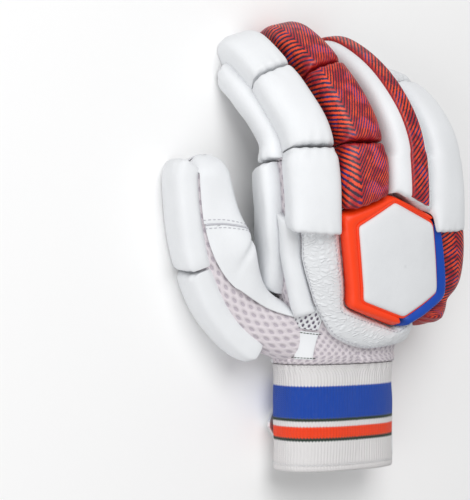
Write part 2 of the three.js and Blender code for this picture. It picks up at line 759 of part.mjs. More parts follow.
const outerBand = {
  ...outerRing,
  from: outerPadFrom,
  to: outerPadTo,
  steps: 6,
  thickness: outerPadThickness,
  profile: [0.65, 0.92, 1, 0.85, 0.3],
};
function gauntletOutside(place) {
  const edge = gauntletEdge;
  const k = clamp(edge.findIndex((row) => row.corner <= place), 1, edge.length - 1);
  const share = (edge[k - 1].corner - place) / (edge[k - 1].corner - edge[k].corner);
  const [across, along] = ["across", "along"].map((key) => mix(edge[k - 1][key], edge[k][key], share));
  return [plateAlong + along * plateHalfLength, plateAround + across * plateHalfWidth];
}
const gauntletBand = {
  inner: (place) => onOutline(place, outerStart),
  outer: gauntletOutside,
  from: gauntletEdge.at(-1).corner,
  to: gauntletEdge[0].corner,
  steps: 9,
  thickness: gauntletThickness,
  profile: [0.8, 1, 0.9, 0.45],
};
const backCutters = [handGrown, palmGrown, ...pressedRolls];
const onBack = (solid, extra = []) => body(cutAll(solid, [...backCutters, ...extra]));
piece("hex_plate", onBack(plate(0)), whiteLeather);
piece("hex_border_orange", onBack(band(orangeBorder), [plate(pressGap)]), orange);
piece("hex_border_blue", onBack(band(blueBorder), [plate(pressGap)]), blue);
piece("outer_pad", onBack(band(outerBand), [band({ ...blueBorder, grow: pressGap })]), patterned);
const besideGauntlet = [
  band({ ...orangeBorder, grow: pressGap }),
  band({ ...blueBorder, grow: pressGap }),
  band({ ...outerBand, grow: pressGap }),
];
piece("gauntlet_pad", onBack(band(gauntletBand), besideGauntlet), whiteLeather);

// Thumb side of the hand: a bar along the hand, a strip along the index finger, and a blank tab
function sidePad({ from, to, middle, width, thickness, steps, grow = 0, base = sunk }) {
  const profile = [0.4, 0.95, 1, 0.95, 0.4];
  const last = profile.length - 1;
  const point = (i, j, height) => {
    const t = mix(from - grow, to + grow, i / steps);
    return backPoint(t, middle + (width / 2 + grow) * ((2 * j) / last - 1), height);
  };
  const end = (i) => (i === 0 || i === steps ? 0.7 : 1);
  return slab({
    along: steps,
    around: last,
    outer: (i, j) => point(i, j, base < 0 ? thickness * profile[j] * end(i) + grow : base + thickness),
    inner: (i, j) => point(i, j, base),
  });
}
const bar = {
  from: handLength - sideBarLength,
  to: handLength,
  middle: sideBarAround,
  width: sideBarWidth,
  thickness: sideBarThickness,
  steps: 6,
};
const thumbCutters = [thumbOverLeather, ...grownGuards];
piece("side_bar", onBack(sidePad(bar), thumbCutters), whiteLeather);
const index = hand[0];
const indexSide = {
  ...index,
  halfHeight: index.halfWidth,
  backOf(s, b, n) {
    const { T, N, B } = index.frame(s);
    const turn = Math.max(s - index.domeStart, 0) / tipHalfHeight;
    return index
      .centre(s)
      .addScaledVector(N, b + sideStripShift)
      .addScaledVector(B, -n * Math.cos(turn))
      .addScaledVector(T, n * Math.sin(turn));
  },
};
const strip = roll(indexSide, {
  from: seamGap,
  to: index.domeStart + 0.5 * tipHalfHeight,
  halfWidth: () => sideStripHalfWidth,
  thickness: () => sideStripThickness,
});
const stripCutters = [...grownStalls, handGrown, ...pressedRolls, ...thumbCutters];
piece("index_side_strip", body(onFloor(cutAll(strip, stripCutters))), whiteLeather);
const tab = {
  from: sideTabAlong,
  to: sideTabAlong + sideTabLength,
  middle: sideTabAround,
  width: sideTabWidth,
  thickness: sideTabThickness,
  steps: 3,
  base: clearance,
};
piece("side_tab", onBack(sidePad(tab), thumbCutters), whiteLeather);

// The knitted cuff carries on from the wrist
const cuffRows = 1;
function cuffSkin(i, j, offset) {
  const p = handSkin(0, around(handSides, j), offset);
  p.y = mix(-cuffLength, -clearance, i / cuffRows);
  return p;
}
const cuff = slab({
  along: cuffRows,
  around: handSides,
  outer: (i, j) => cuffSkin(i, j, 0),
  inner: (i, j) => cuffSkin(i, j, -cuffWall),
  wraps: true,
});
piece("knit_cuff", cuff, knit);

// The strap is sewn to the little finger's side of the cuff and runs under it; the tab closes over the strap
const strapFrom = 16;
const strapTo = 25;
const tabFrom = 14;
const tabTo = 20;
function strapLayer(from, to, offset, thickness, inset) {
  const back = -cuffLength + strapSetback + inset;
  const front = back + strapWidth - 2 * inset;
  const point = (i, j, height) => {
    const p = handSkin(0, around(handSides, from + j), height);
    p.y = mix(back, front, i);
    return p;
  };
  return slab({
    along: 1,
    around: to - from,
    outer: (i, j) => point(i, j, offset + thickness),
    inner: (i, j) => point(i, j, offset),
  });
}
piece("wrist_strap", strapLayer(strapFrom, strapTo, clearance, strapThickness, 0), whiteLeather);
const tabOffset = 2 * clearance + strapThickness;
const tabBlank = strapLayer(tabFrom, tabTo, tabOffset, tabThickness, 1);
const tabMiddle = -cuffLength + strapSetback + strapWidth / 2;
const tabEnd = tabBlank.boundingBox().min[0];
const pointed = [1, -1].reduce((solid, side) => {
  const normal = vector(strapWidth / 2, -side * tabPoint, 0).normalize();
  const onPoint = vector(tabEnd, tabMiddle, 0);
  return solid.trimByPlane(normal.toArray(), normal.dot(onPoint));
}, tabBlank);
piece("strap_tab", body(pointed), whiteLeather);

// The origin is under the middle of the glove
const box = new THREE.Box3().setFromObject(group);
const middle = box.getCenter(vector(0, 0, 0));
group.position.set(-middle.x, -middle.y, 0);

export default group;
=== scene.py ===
"""Looks of a right-hand cricket batting glove, built round its packed model.

The glove lies palm down. Shapes are worked out in millimetres, from the wrist: t or s runs towards the
fingertips, and angles are in degrees. A piece's mesh holds its place in the frame, in metres.
"""

import math

import bmesh
import bpy
import numpy as np
from bpy.props import FloatProperty, FloatVectorProperty, PointerProperty
from mathutils import Matrix, Vector


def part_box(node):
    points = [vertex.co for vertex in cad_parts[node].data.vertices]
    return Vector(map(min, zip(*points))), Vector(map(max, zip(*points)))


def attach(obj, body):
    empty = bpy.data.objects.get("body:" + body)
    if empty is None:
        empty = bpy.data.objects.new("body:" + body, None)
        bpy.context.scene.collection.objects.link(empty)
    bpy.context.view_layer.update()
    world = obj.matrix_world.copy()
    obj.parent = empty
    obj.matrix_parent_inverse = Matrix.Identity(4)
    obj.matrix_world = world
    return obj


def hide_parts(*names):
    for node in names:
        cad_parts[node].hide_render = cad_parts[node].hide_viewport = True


bl_info = {
    "name": "Batting Glove",
    "version": (1, 0, 0),
    "blender": (4, 5, 0),
    "location": "3D View > Sidebar > Glove",
    "description": "Makes the leather, padding, mesh, knit and stitching of a batting glove",
    "category": "Object",
}

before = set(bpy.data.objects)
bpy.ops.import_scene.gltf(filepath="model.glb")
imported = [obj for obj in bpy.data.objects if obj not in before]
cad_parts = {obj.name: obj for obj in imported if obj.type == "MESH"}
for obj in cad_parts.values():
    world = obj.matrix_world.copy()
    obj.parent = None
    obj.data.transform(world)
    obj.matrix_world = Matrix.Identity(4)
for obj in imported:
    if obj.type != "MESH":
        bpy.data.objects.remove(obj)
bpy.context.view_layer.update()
MM = 0.001

# The photograph's size in pixels, the middle of the finger roots, and the pixel where it falls there
PHOTO_SIZE = (470, 500)
AIM = np.array([0.0, 85.0, 40.0])
AIM_PIXEL = (344, 246)

# Clearances and walls
CLEARANCE = 0.3
SEAM_GAP = 1.0
FLATTENING = 1.2
STALL_WALL = 1.6
HAND_WALL = 2.0
THUMB_WALL = 2.0
LEATHER_WALL = 1.3
CUFF_WALL = 2.6
STRAP_THICKNESS = 1.6
TAB_THICKNESS = 1.8

# Hand
HAND_LENGTH = 150.0
WRIST_HALF_WIDTH = 48.0
HEEL_LENGTH = 72.0
KNUCKLE_SHIFT = 3.0
WRIST_HALF_HEIGHT = 28.0
WRIST_SQUASH = 5.0
ARCH_RISE = 46.0
KNUCKLE_SLOPE = -10.0
KNUCKLE_RADIUS = 210.0
WRIST_SQUARENESS = 2.5
KNUCKLE_SQUARENESS = 4.5
TIP_SQUARENESS = 2.6

# Fingers, from the index: splay in degrees, reach of the rolls over the hand, places where the rolls part
FINGER_PITCH = 36.0
STALL_HALF_HEIGHT = 15.0
TIP_HALF_HEIGHT = 12.5
TIP_HALF_WIDTH = 13.0
ROOT_TAPER = 30.0
CURL_POWER = 1.2
FINGERS = {
    "index": dict(row=0, length=90.0, splay=-20.0, narrow=1.0, reach=46.0, splits=[0.36, 0.73]),
    "middle": dict(row=1, length=100.0, splay=-15.5, narrow=1.0, reach=31.0, splits=[0.28, 0.66]),
    "ring": dict(row=2, length=90.0, splay=-10.0, narrow=1.0, reach=32.0, splits=[]),
    "little": dict(row=3, length=71.0, splay=-4.0, narrow=0.92, reach=44.0, splits=[0.76]),
}
ROLL_THICKNESS = 20.0
ROLL_WRAP = 75.0
ROLL_TIP_SHARE = 0.88
ROLL_END_TAPER = 9.0
ROLL_END_SHARE = 0.5

# Thumb
THUMB_LENGTH = 160.0
THUMB_START = (-38.0, 22.0)
THUMB_YAW = (85.0, 4.0)
THUMB_TURN = 1.7
THUMB_ROLL = -12.0
THUMB_HALF_WIDTH = (20.0, 17.0)
THUMB_HALF_HEIGHT = (20.0, 15.0)
THUMB_SLIM_SHARE = 0.8
THUMB_SETTLE_SHARE = 0.4
GUARD_THICKNESS = 12.0
GUARD_HALF_WIDTH = 18.0
GUARD_EDGE = 0.3
GUARD_WRAP = 40.0
GUARD_START = 26.0
GUARD_SPLIT = 0.47

# Cuff and strap
CUFF_LENGTH = 77.0
HEM_HEIGHT = 5.0
STRAP_WIDTH = 52.0
STRAP_SETBACK = 6.0
TAB_POINT = 30.0
STRAP_ANGLES = (240.0, 375.0)
TAB_ANGLES = (210.0, 300.0)

# Back plate and the pads beside it, as corners round the plate
PLATE_HALF_LENGTH = 39.0
PLATE_HALF_WIDTH = 31.0
PLATE_ALONG = 85.0
PLATE_AROUND = 12.0
PLATE_THICKNESS = 15.0
BORDER_WIDTH = 11.0
OUTER_PAD_WIDTH = 25.0
OUTER_PAD_THICKNESS = 20.0
GAUNTLET_THICKNESS = 9.0
# each row: across and along as shares of the plate, then the border's width as a share of its own
PLATE_CORNERS = np.array([
    [-0.25, 1.0, 0.3],
    [0.7, 0.68, 0.5],
    [1.0, -0.55, 1.0],
    [0.22, -1.0, 0.9],
    [-0.85, -0.65, 0.9],
    [-1.05, 0.62, 1.0],
])
# each row: a place on the plate's outline, then the outer edge there across and along
GAUNTLET_EDGE = np.array([
    [2.55, 1.1, -1.75],
    [3.0, -0.2, -1.8],
    [3.6, -1.3, -1.45],
    [4.0, -1.9, -0.8],
    [4.6, -2.25, 0.0],
    [5.2, -2.35, 0.6],
])

# Thumb side
SIDE_BAR = dict(start=52.0, end=150.0, middle=-86.0, width=26.0, thickness=15.0)
SIDE_STRIP = dict(half_width=11.0, shift=2.5, thickness=12.0)
SIDE_TAB = dict(start=5.0, end=29.0, middle=-43.0, width=13.0, thickness=1.4)
RING_STRIP = dict(width=14.0, thickness=2.5, shift=2.0)

# Leather on the thumb: angles between which it lies, and how far they widen over the dome's first part
LEATHER_LOW = 205.0
LEATHER_LOW_CLOSING = 60.0
CAP_HIGH = 386.0
CAP_HIGH_CLOSING = 50.0
CAP_CLOSING_LENGTH = 9.0
CAP_REACH = 14.85
GUSSET_HIGH = (322.0, 384.0)
GUSSET_LENGTH = 105.0
# Its slack: places along the thumb in mm, angles round it in degrees
SLACK = dict(depth=0.5, wavelength=26.0, seed=61)
BULGE = dict(depth=10.5, along=92.0, length=34.0, angle=305.0, width=42.0)
CREASE = dict(depth=2.2, along=96.0, length=3.4, slant=0.35, pivot=300.0, angle=318.0, width=26.0)

# How pads are made: how deep they start under the skin, how far the loops at an end are open, and how dense
# the rolls' grids are
SUNK = -1.5
END_OPENED = [0.35, 0.75]
ROLL_COLUMNS = 60
ROLL_STEP = 2.3
END_ROWS = 7
PUCKER_REACH = 5.0
CORNER_ROUNDING = 0.07
SWELL_FRAMES = 20
PRESSED = 0.1  # nothing lies lower than this over the floor
# NO_SEAM is the distance at which a seam's painted shade no longer shows
NO_SEAM = 20.0  # a distance at which a seam no longer shows
STITCH = dict(length=2.2, radius=0.32)

_cuff_low, _cuff_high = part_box("knit_cuff")
ORIGIN = np.array([(_cuff_low.x + _cuff_high.x) / 2, _cuff_high.y + CLEARANCE * MM, 0.0])


# Curves and sections

def smooth(x):
    """An ease from 0 to 1: three x squared less two x cubed, held at both ends."""
    x = np.clip(x, 0.0, 1.0)
    return x * x * (3.0 - 2.0 * x)


def mix(a, b, share):
    """The point that lies a share of the way from a to b."""
    return a + (b - a) * share


def walk(start, length, heading, step=1.0):
    """A path summed from its heading in short straight steps, as a function of the distance along it."""
    count = math.ceil(length / step)
    size = length / count
    places = (np.arange(count) + 0.5) * size
    steps = heading(places) * size
    points = np.vstack([start, start + np.cumsum(steps, axis=0)])
    marks = np.arange(count + 1) * size
    return lambda s: np.stack([np.interp(s, marks, points[:, k]) for k in range(3)], axis=-1)


def superellipse(v, squareness):
    """Signed powers of the cosine and sine of v, the power being two over the squareness."""
    c, s = np.cos(np.radians(v)), np.sin(np.radians(v))
    power = 2.0 / squareness
    return np.sign(c) * np.abs(c) ** power, np.sign(s) * np.abs(s) ** power


def ring_angles(count):
    """The angles of a loop's columns, in degrees, from the back round to it again."""
    return 90.0 + 360.0 * np.arange(count) / count


def vectors(x, y, z):
    """Arrays of coordinates as one array of points."""
    return np.stack(np.broadcast_arrays(x, y, z), axis=-1).astype(float)


CUFF_REST = STRAP_THICKNESS + TAB_THICKNESS + 2 * CLEARANCE
WRIST_HEIGHT = CUFF_REST - WRIST_SQUASH + WRIST_HALF_HEIGHT
ROOT_HALF_WIDTH = (FINGER_PITCH - SEAM_GAP) / 2
KNUCKLE_HALF_WIDTH = 1.5 * FINGER_PITCH + ROOT_HALF_WIDTH


def spine_slope(t):
    """The hand's slope: it rises from the wrist as u times one less u, and falls as u squared."""
    u = np.clip(t / HAND_LENGTH, 0, 1)
    return np.radians(2 * ARCH_RISE * u * (1 - u) + KNUCKLE_SLOPE * u * u)


def spine_heading(t):
    return vectors(0.0, np.cos(spine_slope(t)), np.sin(spine_slope(t)))


def spine_normal(t):
    return vectors(0.0, -np.sin(spine_slope(t)), np.cos(spine_slope(t)))


spine = walk(np.array([0.0, 0.0, WRIST_HEIGHT]), HAND_LENGTH, spine_heading)


def heel_side(t):
    return mix(WRIST_HALF_WIDTH, KNUCKLE_HALF_WIDTH + KNUCKLE_SHIFT, smooth(t / HEEL_LENGTH))


def thumb_side(t):
    return mix(WRIST_HALF_WIDTH, KNUCKLE_HALF_WIDTH - KNUCKLE_SHIFT, smooth(t / HAND_LENGTH))


def hand_half_height(t):
    return mix(WRIST_HALF_HEIGHT, STALL_HALF_HEIGHT, smooth(t / HAND_LENGTH))


def hand_squareness(t):
    return mix(WRIST_SQUARENESS, KNUCKLE_SQUARENESS, smooth(t / HAND_LENGTH))


def hand_point(t, w, n):
    """A point t along the spine, w across and n above it, bent over the arc of the knuckles."""
    k = np.maximum(smooth(t / HAND_LENGTH) / KNUCKLE_RADIUS, 1e-6)
    across = (1 / k + n) * np.sin(k * w)
    up = (1 / k + n) * np.cos(k * w) - 1 / k
    shift = (heel_side(t) - thumb_side(t)) / 2
    return spine(t) + spine_normal(t) * up[..., None] + vectors(across + shift, 0.0, 0.0)


def hand_skin(t, v, offset):
    """The hand's outside at angle v: a superellipse grown by offset, held above the strap under it."""
    t, v, offset = np.broadcast_arrays(np.asarray(t, float), v, offset)
    c, s = superellipse(v, hand_squareness(t))
    half = (heel_side(t) + thumb_side(t)) / 2
    points = hand_point(t, c * (half + offset), s * (hand_half_height(t) + offset))
    points[..., 2] = np.maximum(points[..., 2], CUFF_REST - offset)
    return points


def around_table():
    """The angle at each distance around the hand from the middle of its back, for each place along it."""
    places = np.arange(0.0, HAND_LENGTH + 1)
    distances = np.arange(0.0, 160.0)
    angles = 90.0 - 180.0 * np.linspace(0, 1, 500) ** 2
    c, s = superellipse(angles[None, :], hand_squareness(places)[:, None])
    half = ((heel_side(places) + thumb_side(places)) / 2)[:, None]
    steps = np.hypot(np.diff(c * half, axis=1), np.diff(s * hand_half_height(places)[:, None], axis=1))
    reach = np.hstack([np.zeros((len(places), 1)), np.cumsum(steps, axis=1)])
    return np.array([np.interp(distances, row, angles) for row in reach])


AROUND = around_table()


def angle_around(t, distance):
    """Reads the table of angles between its rows and columns."""
    t = np.clip(t, 0, AROUND.shape[0] - 1.001)
    d = np.clip(np.abs(distance), 0, AROUND.shape[1] - 1.001)
    i, j = t.astype(int), d.astype(int)
    a, b = t - i, d - j
    near = mix(AROUND[i, j], AROUND[i, j + 1], b)
    far = mix(AROUND[i + 1, j], AROUND[i + 1, j + 1], b)
    angle = mix(near, far, a)
    return np.where(distance >= 0, angle, 180 - angle)


def back_point(t, around, height):
    """A point on the hand, t along it and a distance around from the middle of its back, at a height."""
    t, around, height = np.broadcast_arrays(np.asarray(t, float), around, height)
    return hand_skin(t, angle_around(t, around), height)


def turned_over(limb, s, out, tangent, radius):
    """The direction out of a limb, turned towards its tangent past the dome's start by the arc over the tip."""
    turn = (np.maximum(s - limb.dome, 0) / radius)[..., None]
    return out * np.cos(turn) + tangent * np.sin(turn)


def domed_skin(limb, s, v, offset, squareness, radius):
    """A limb's outside: a superellipse round its centre line, closed by a dome of the given radius."""
    tangent, back, across = limb.axes(s)
    dome = np.clip((s - limb.dome) / radius, 0, 1)
    shrink = np.sqrt(1 - dome * dome)
    c, h = superellipse(v, squareness)
    return (
        limb.centre(s)
        + tangent * (dome * (radius + offset))[..., None]
        + across * (c * (limb.half_width(s) + offset) * shrink)[..., None]
        + back * (h * (limb.half_height(s) + offset) * shrink)[..., None]
    )


class Finger:
    """A finger's centre line runs on from the hand's spine and curls down until its tip rests."""

    def __init__(self, name, row, length, splay, narrow, reach, splits):
        self.name, self.splay, self.narrow = name, splay, narrow
        self.reach, self.splits = reach, splits
        self.w = (row - 1.5) * FINGER_PITCH
        self.dome = length - TIP_HALF_HEIGHT
        tilt = self.w / KNUCKLE_RADIUS
        ahead = spine_heading(np.array(HAND_LENGTH))
        up = spine_normal(np.array(HAND_LENGTH))
        sideways = np.array([1.0, 0.0, 0.0])
        self.ahead = ahead
        self.back = up * math.cos(tilt) + sideways * math.sin(tilt)
        self.across = sideways * math.cos(tilt) - up * math.sin(tilt)
        self.start = hand_point(np.array(HAND_LENGTH), np.array(self.w), np.array(0.0))
        low, high = 10.0, 130.0
        for _ in range(24):
            middle = (low + high) / 2
            self.curl_to(middle)
            if self.tip_bottom() > -FLATTENING:
                low = middle
            else:
                high = middle
        self.curl_to(low)

    def curl_to(self, end_curl):
        self.end_curl = end_curl
        self.centre = walk(self.start, self.dome, lambda s: self.axes(s)[0])

    def axes(self, s):
        """The tangent, back and across directions: splay eases in, and curl grows as a power of s."""
        along = np.clip(s, 0, self.dome)
        splay = np.radians(self.splay) * smooth(along / ROOT_TAPER)
        curl = np.radians(self.end_curl) * (along / self.dome) ** CURL_POWER
        cs, ss, cc, sc = (f(a)[..., None] for a in (splay, curl) for f in (np.cos, np.sin))
        level = self.ahead * cs + self.across * ss
        return level * cc - self.back * sc, level * sc + self.back * cc, self.across * cs - self.ahead * ss

    def half_width(self, s):
        return mix(ROOT_HALF_WIDTH, TIP_HALF_WIDTH * self.narrow, smooth(s / ROOT_TAPER))

    def half_height(self, s):
        own = mix(STALL_HALF_HEIGHT, TIP_HALF_HEIGHT, smooth(s / self.dome))
        return np.where(s < 0, hand_half_height(HAND_LENGTH + s), own)

    def back_of(self, s, b, n):
        """b across and n above the centre line; past the dome's start the back turns over the tip."""
        s, b, n = np.broadcast_arrays(np.asarray(s, float), b, n)
        tangent, back, across = self.axes(s)
        out = turned_over(self, s, back, tangent, TIP_HALF_HEIGHT)
        own = self.centre(s) + across * b[..., None] + out * n[..., None]
        behind = hand_point(HAND_LENGTH + np.minimum(s, 0), self.w + b, n)
        return np.where((s < 0)[..., None], behind, own)

    def skin(self, s, v, offset):
        """The stall's outside, squarer at the knuckles than at the tip."""
        s, v, offset = np.broadcast_arrays(np.asarray(s, float), v, offset)
        squareness = mix(KNUCKLE_SQUARENESS, TIP_SQUARENESS, smooth(s / ROOT_TAPER))
        return domed_skin(self, s, v, offset, squareness, TIP_HALF_HEIGHT)

    def tip_bottom(self):
        """The lowest point of the fingertip with its roll wrapped over it."""
        turn = np.arange(0.0, ROLL_WRAP + 1, 3)
        s = self.dome + np.radians(turn) * TIP_HALF_HEIGHT
        left = np.radians(ROLL_WRAP - turn) * TIP_HALF_HEIGHT
        taper = mix(ROLL_END_SHARE, 1, np.sqrt(smooth(left / ROLL_END_TAPER)))
        return self.back_of(s, 0.0, TIP_HALF_HEIGHT + CLEARANCE + ROLL_THICKNESS * taper)[..., 2].min()

    def roll_length(self):
        return self.reach + self.dome + math.radians(ROLL_WRAP) * TIP_HALF_HEIGHT

    def roll_half_width(self, s):
        return ROOT_HALF_WIDTH * mix(1, ROLL_TIP_SHARE, smooth(s / self.dome))


class Thumb:
    """The thumb leaves the hand's side, turns forward and lies on its edge, its back to the thumb side."""

    dome = THUMB_LENGTH - THUMB_HALF_HEIGHT[1]

    def __init__(self):
        start = np.array([THUMB_START[0], THUMB_START[1], 0.0])
        self.plan = walk(start, self.dome, lambda s: self.axes(s)[0])

    def yaw(self, s):
        left = 1 - np.clip(s / self.dome, 0, 1)
        return np.radians(mix(THUMB_YAW[1], THUMB_YAW[0], left**THUMB_TURN))

    def axes(self, s):
        yaw, tilt = self.yaw(np.asarray(s, float)), math.radians(THUMB_ROLL)
        side = vectors(-np.cos(yaw), -np.sin(yaw), 0.0)
        up = np.array([0.0, 0.0, 1.0])
        tangent = vectors(-np.sin(yaw), np.cos(yaw), 0.0)
        back = side * math.cos(tilt) + up * math.sin(tilt)
        return tangent, back, -side * math.sin(tilt) + up * math.cos(tilt)

    def half_width(self, s):
        return mix(*THUMB_HALF_WIDTH, smooth(s / self.dome))

    def half_height(self, s):
        return mix(*THUMB_HALF_HEIGHT, smooth(s / (THUMB_SLIM_SHARE * self.dome)))

    def centre(self, s):
        tilt = math.radians(THUMB_ROLL)
        edge = self.half_height(s) + CLEARANCE + GUARD_EDGE * GUARD_THICKNESS
        rest = GUARD_HALF_WIDTH * math.cos(tilt) - edge * math.sin(tilt) - FLATTENING
        points = self.plan(s)
        points[..., 2] = mix(WRIST_HEIGHT, rest, smooth(s / (THUMB_SETTLE_SHARE * self.dome)))
        return points

    def back_of(self, s, b, n):
        s, b, n = np.broadcast_arrays(np.asarray(s, float), b, n)
        tangent, back, across = self.axes(s)
        out = turned_over(self, s, back, tangent, THUMB_HALF_HEIGHT[1])
        return self.centre(s) + across * b[..., None] + out * n[..., None]

    def skin(self, s, v, offset):
        s, v, offset = np.broadcast_arrays(np.asarray(s, float), v, offset)
        return domed_skin(self, s, v, offset, TIP_SQUARENESS, THUMB_HALF_HEIGHT[1])


class IndexSide:
    """The thumb side of the index finger, read as a back, for the padded strip along it."""

    def __init__(self, finger):
        self.finger, self.dome = finger, finger.dome
        self.half_height = finger.half_width

    def back_of(self, s, b, n):
        s, b, n = np.broadcast_arrays(np.asarray(s, float), b, n)
        tangent, back, across = self.finger.axes(s)
        out = turned_over(self, s, -across, tangent, TIP_HALF_HEIGHT)
        return self.finger.centre(s) + back * (b + SIDE_STRIP["shift"])[..., None] + out * n[..., None]


HAND = {name: Finger(name, **values) for name, values in FINGERS.items()}
THUMB = Thumb()


# Meshes from grids of points

def sheet_of_faces(rows, cols, ring):
    """Quads between neighbouring rows of a grid whose columns wrap; a ring's rows wrap too."""
    index = np.arange(rows * cols).reshape(rows, cols)
    here = index if ring else index[:-1]
    ahead = np.roll(index, -1, axis=0) if ring else index[1:]
    quads = np.stack([here, np.roll(here, -1, 1), np.roll(ahead, -1, 1), ahead], axis=-1)
    return quads.reshape(-1, 4)


def signed_volume(vertices, faces):
    """A sixth of the sum of triple products over the fan of triangles of each face."""
    total = 0.0
    for k in range(1, faces.shape[1] - 1):
        a, b, c = (vertices[faces[:, i]] for i in (0, k, k + 1))
        total += np.einsum("ij,ij->i", a, np.cross(b, c)).sum()
    return total / 6


def mesh_object(name, vertices, groups):
    """A smooth-shaded mesh of groups of faces, each with its corners' UV, turned to face outwards."""
    if sum(signed_volume(vertices, faces) for faces, _ in groups) < 0:
        groups = [(faces[:, ::-1], uv[:, ::-1]) for faces, uv in groups]
    mesh = bpy.data.meshes.new(name)
    places = vertices * MM + ORIGIN
    mesh.from_pydata(places.tolist(), [], [face for faces, _ in groups for face in faces.tolist()])
    layer = mesh.uv_layers.new(name="cloth")
    layer.data.foreach_set("uv", np.concatenate([uv.reshape(-1) for _, uv in groups]))
    mesh.polygons.foreach_set("use_smooth", np.ones(len(mesh.polygons), bool))
    mesh.update()
    made = bpy.data.objects.new(name, mesh)
    bpy.context.scene.collection.objects.link(made)
    return made


def surface(name, points, ring=False):
    """A closed surface through rows of loops. Its end rows close to a point, or its last joins its first.
    The UV map is in millimetres: across from the middle column, and along by the row's own distance."""
    rows, cols = points.shape[:2]
    uv = measured(points, ring)
    quads = sheet_of_faces(rows, cols, ring)
    i, j = np.divmod(np.arange(len(quads)), cols)
    corners = np.stack([uv[i, j], uv[i, j + 1], uv[i + 1, j + 1], uv[i + 1, j]], axis=1)
    vertices = points.reshape(-1, 3)
    groups = [(quads, corners)]
    if not ring:
        poles = np.stack([points[0].mean(0), points[-1].mean(0)])
        vertices = np.vstack([vertices, poles])
        j = np.arange(cols)
        for row, pole in ((0, rows * cols), (rows - 1, rows * cols + 1)):
            edge = row * cols + j
            fan = np.stack([np.full(cols, pole), edge, np.roll(edge, -1)], axis=1)
            middle = (uv[row, j] + uv[row, j + 1]) / 2
            fan_uv = np.stack([middle, uv[row, j], uv[row, j + 1]], axis=1)
            if row == 0:
                fan, fan_uv = fan[:, ::-1], fan_uv[:, ::-1]
            groups.append((fan, fan_uv))
    return mesh_object(name, vertices, groups)


def measured(points, ring):
    """Distances over the surface: around each loop from its middle column, and along the middle column."""
    loops = np.concatenate([points, points[:, :1]], axis=1)
    if ring:
        loops = np.concatenate([loops, loops[:1]], axis=0)
    around = np.cumsum(np.linalg.norm(np.diff(loops, axis=1), axis=2), axis=1)
    around = np.hstack([np.zeros((len(loops), 1)), around])
    middle = points.shape[1] // 2
    along = np.cumsum(np.linalg.norm(np.diff(loops[:, middle], axis=0), axis=1))
    along = np.concatenate([[0.0], along])
    across = around - around[:, middle : middle + 1]
    return np.stack([across, np.broadcast_to(along[:, None], across.shape)], axis=-1)


def outward(points):
    """Unit normals of a grid whose columns wrap: the cross product of its two gradients, turned away from the
    middle of each loop."""
    around = np.roll(points, -1, 1) - np.roll(points, 1, 1)
    normal = np.cross(around, np.gradient(points, axis=0))
    normal = normal / np.maximum(np.linalg.norm(normal, axis=2, keepdims=True), 1e-9)
    middle = points.mean(axis=1, keepdims=True)
    if np.einsum("ijk,ijk->", normal, points - middle) < 0:
        normal = -normal
    return normal


def ripple(u, v, seed, wavelength):
    """Smooth unevenness: eight sines in seeded directions, each near the given wavelength."""
    source = np.random.default_rng(seed)
    total = 0.0
    for _ in range(8):
        angle, phase = source.uniform(0, 2 * math.pi, 2)
        k = 2 * math.pi / (wavelength * source.uniform(0.6, 1.5))
        total = total + np.sin(k * (u * math.cos(angle) + v * math.sin(angle)) + phase)
    return total / 4


def puckers(across, from_seam, seed, depth, spacing, reach):
    """Short folds that run from a seam and fade with the distance from it."""
    source = np.random.default_rng(seed)
    phase = source.uniform(0, 2 * math.pi)
    wander = ripple(across, from_seam, seed + 1, 4 * spacing)
    wave = np.sin(2 * math.pi * across / spacing + phase + 2 * wander)
    return -depth * np.exp(-from_seam / reach) * (0.5 + 0.5 * wave)


# Padding, as loops carried along a path

def opened_rows(count):
    """How far loops are open: pinched at the two ends, and fully along the count of rows between them."""
    return np.concatenate([END_OPENED, np.ones(count), END_OPENED[::-1]])


def end_rows(start, end, taper, lowest, count, step):
    """Rows along a pad: places, how far the top has risen, and how far the loop has opened."""
    turn = np.linspace(0, math.pi / 2, count)
    rise = taper * (1 - np.cos(turn))
    lift = lowest + (1 - lowest) * np.sin(turn)
    body = np.linspace(start + taper, end - taper, max(int((end - start - 2 * taper) / step), 2) + 1)[1:-1]
    places = np.concatenate([[start, start], start + rise, body, end - rise[::-1], [end, end]])
    lifts = np.concatenate([[lowest] * 2, lift, np.ones(len(body)), lift[::-1], [lowest] * 2])
    return places, lifts, opened_rows(2 * count + len(body))


def pad_loop(cols, top_squareness, low_squareness=3.0):
    """A loop that starts under the pad: shares across, and up from the widest place or down from it. Its points
    are evenly spaced round two half superellipses."""
    angle = np.linspace(-90, 270, 7201)
    across_top, up = superellipse(angle, top_squareness)
    across_low, down = superellipse(angle, low_squareness)
    upper = np.sin(np.radians(angle)) >= 0
    across = np.where(upper, across_top, across_low)
    height = np.where(upper, up, down)
    lengths = np.concatenate([[0.0], np.cumsum(np.hypot(np.diff(across), np.diff(height)))])
    marks = lengths[-1] * np.arange(cols) / cols
    across, height = np.interp(marks, lengths, across), np.interp(marks, lengths, height)
    return across, np.maximum(height, 0), np.maximum(-height, 0)


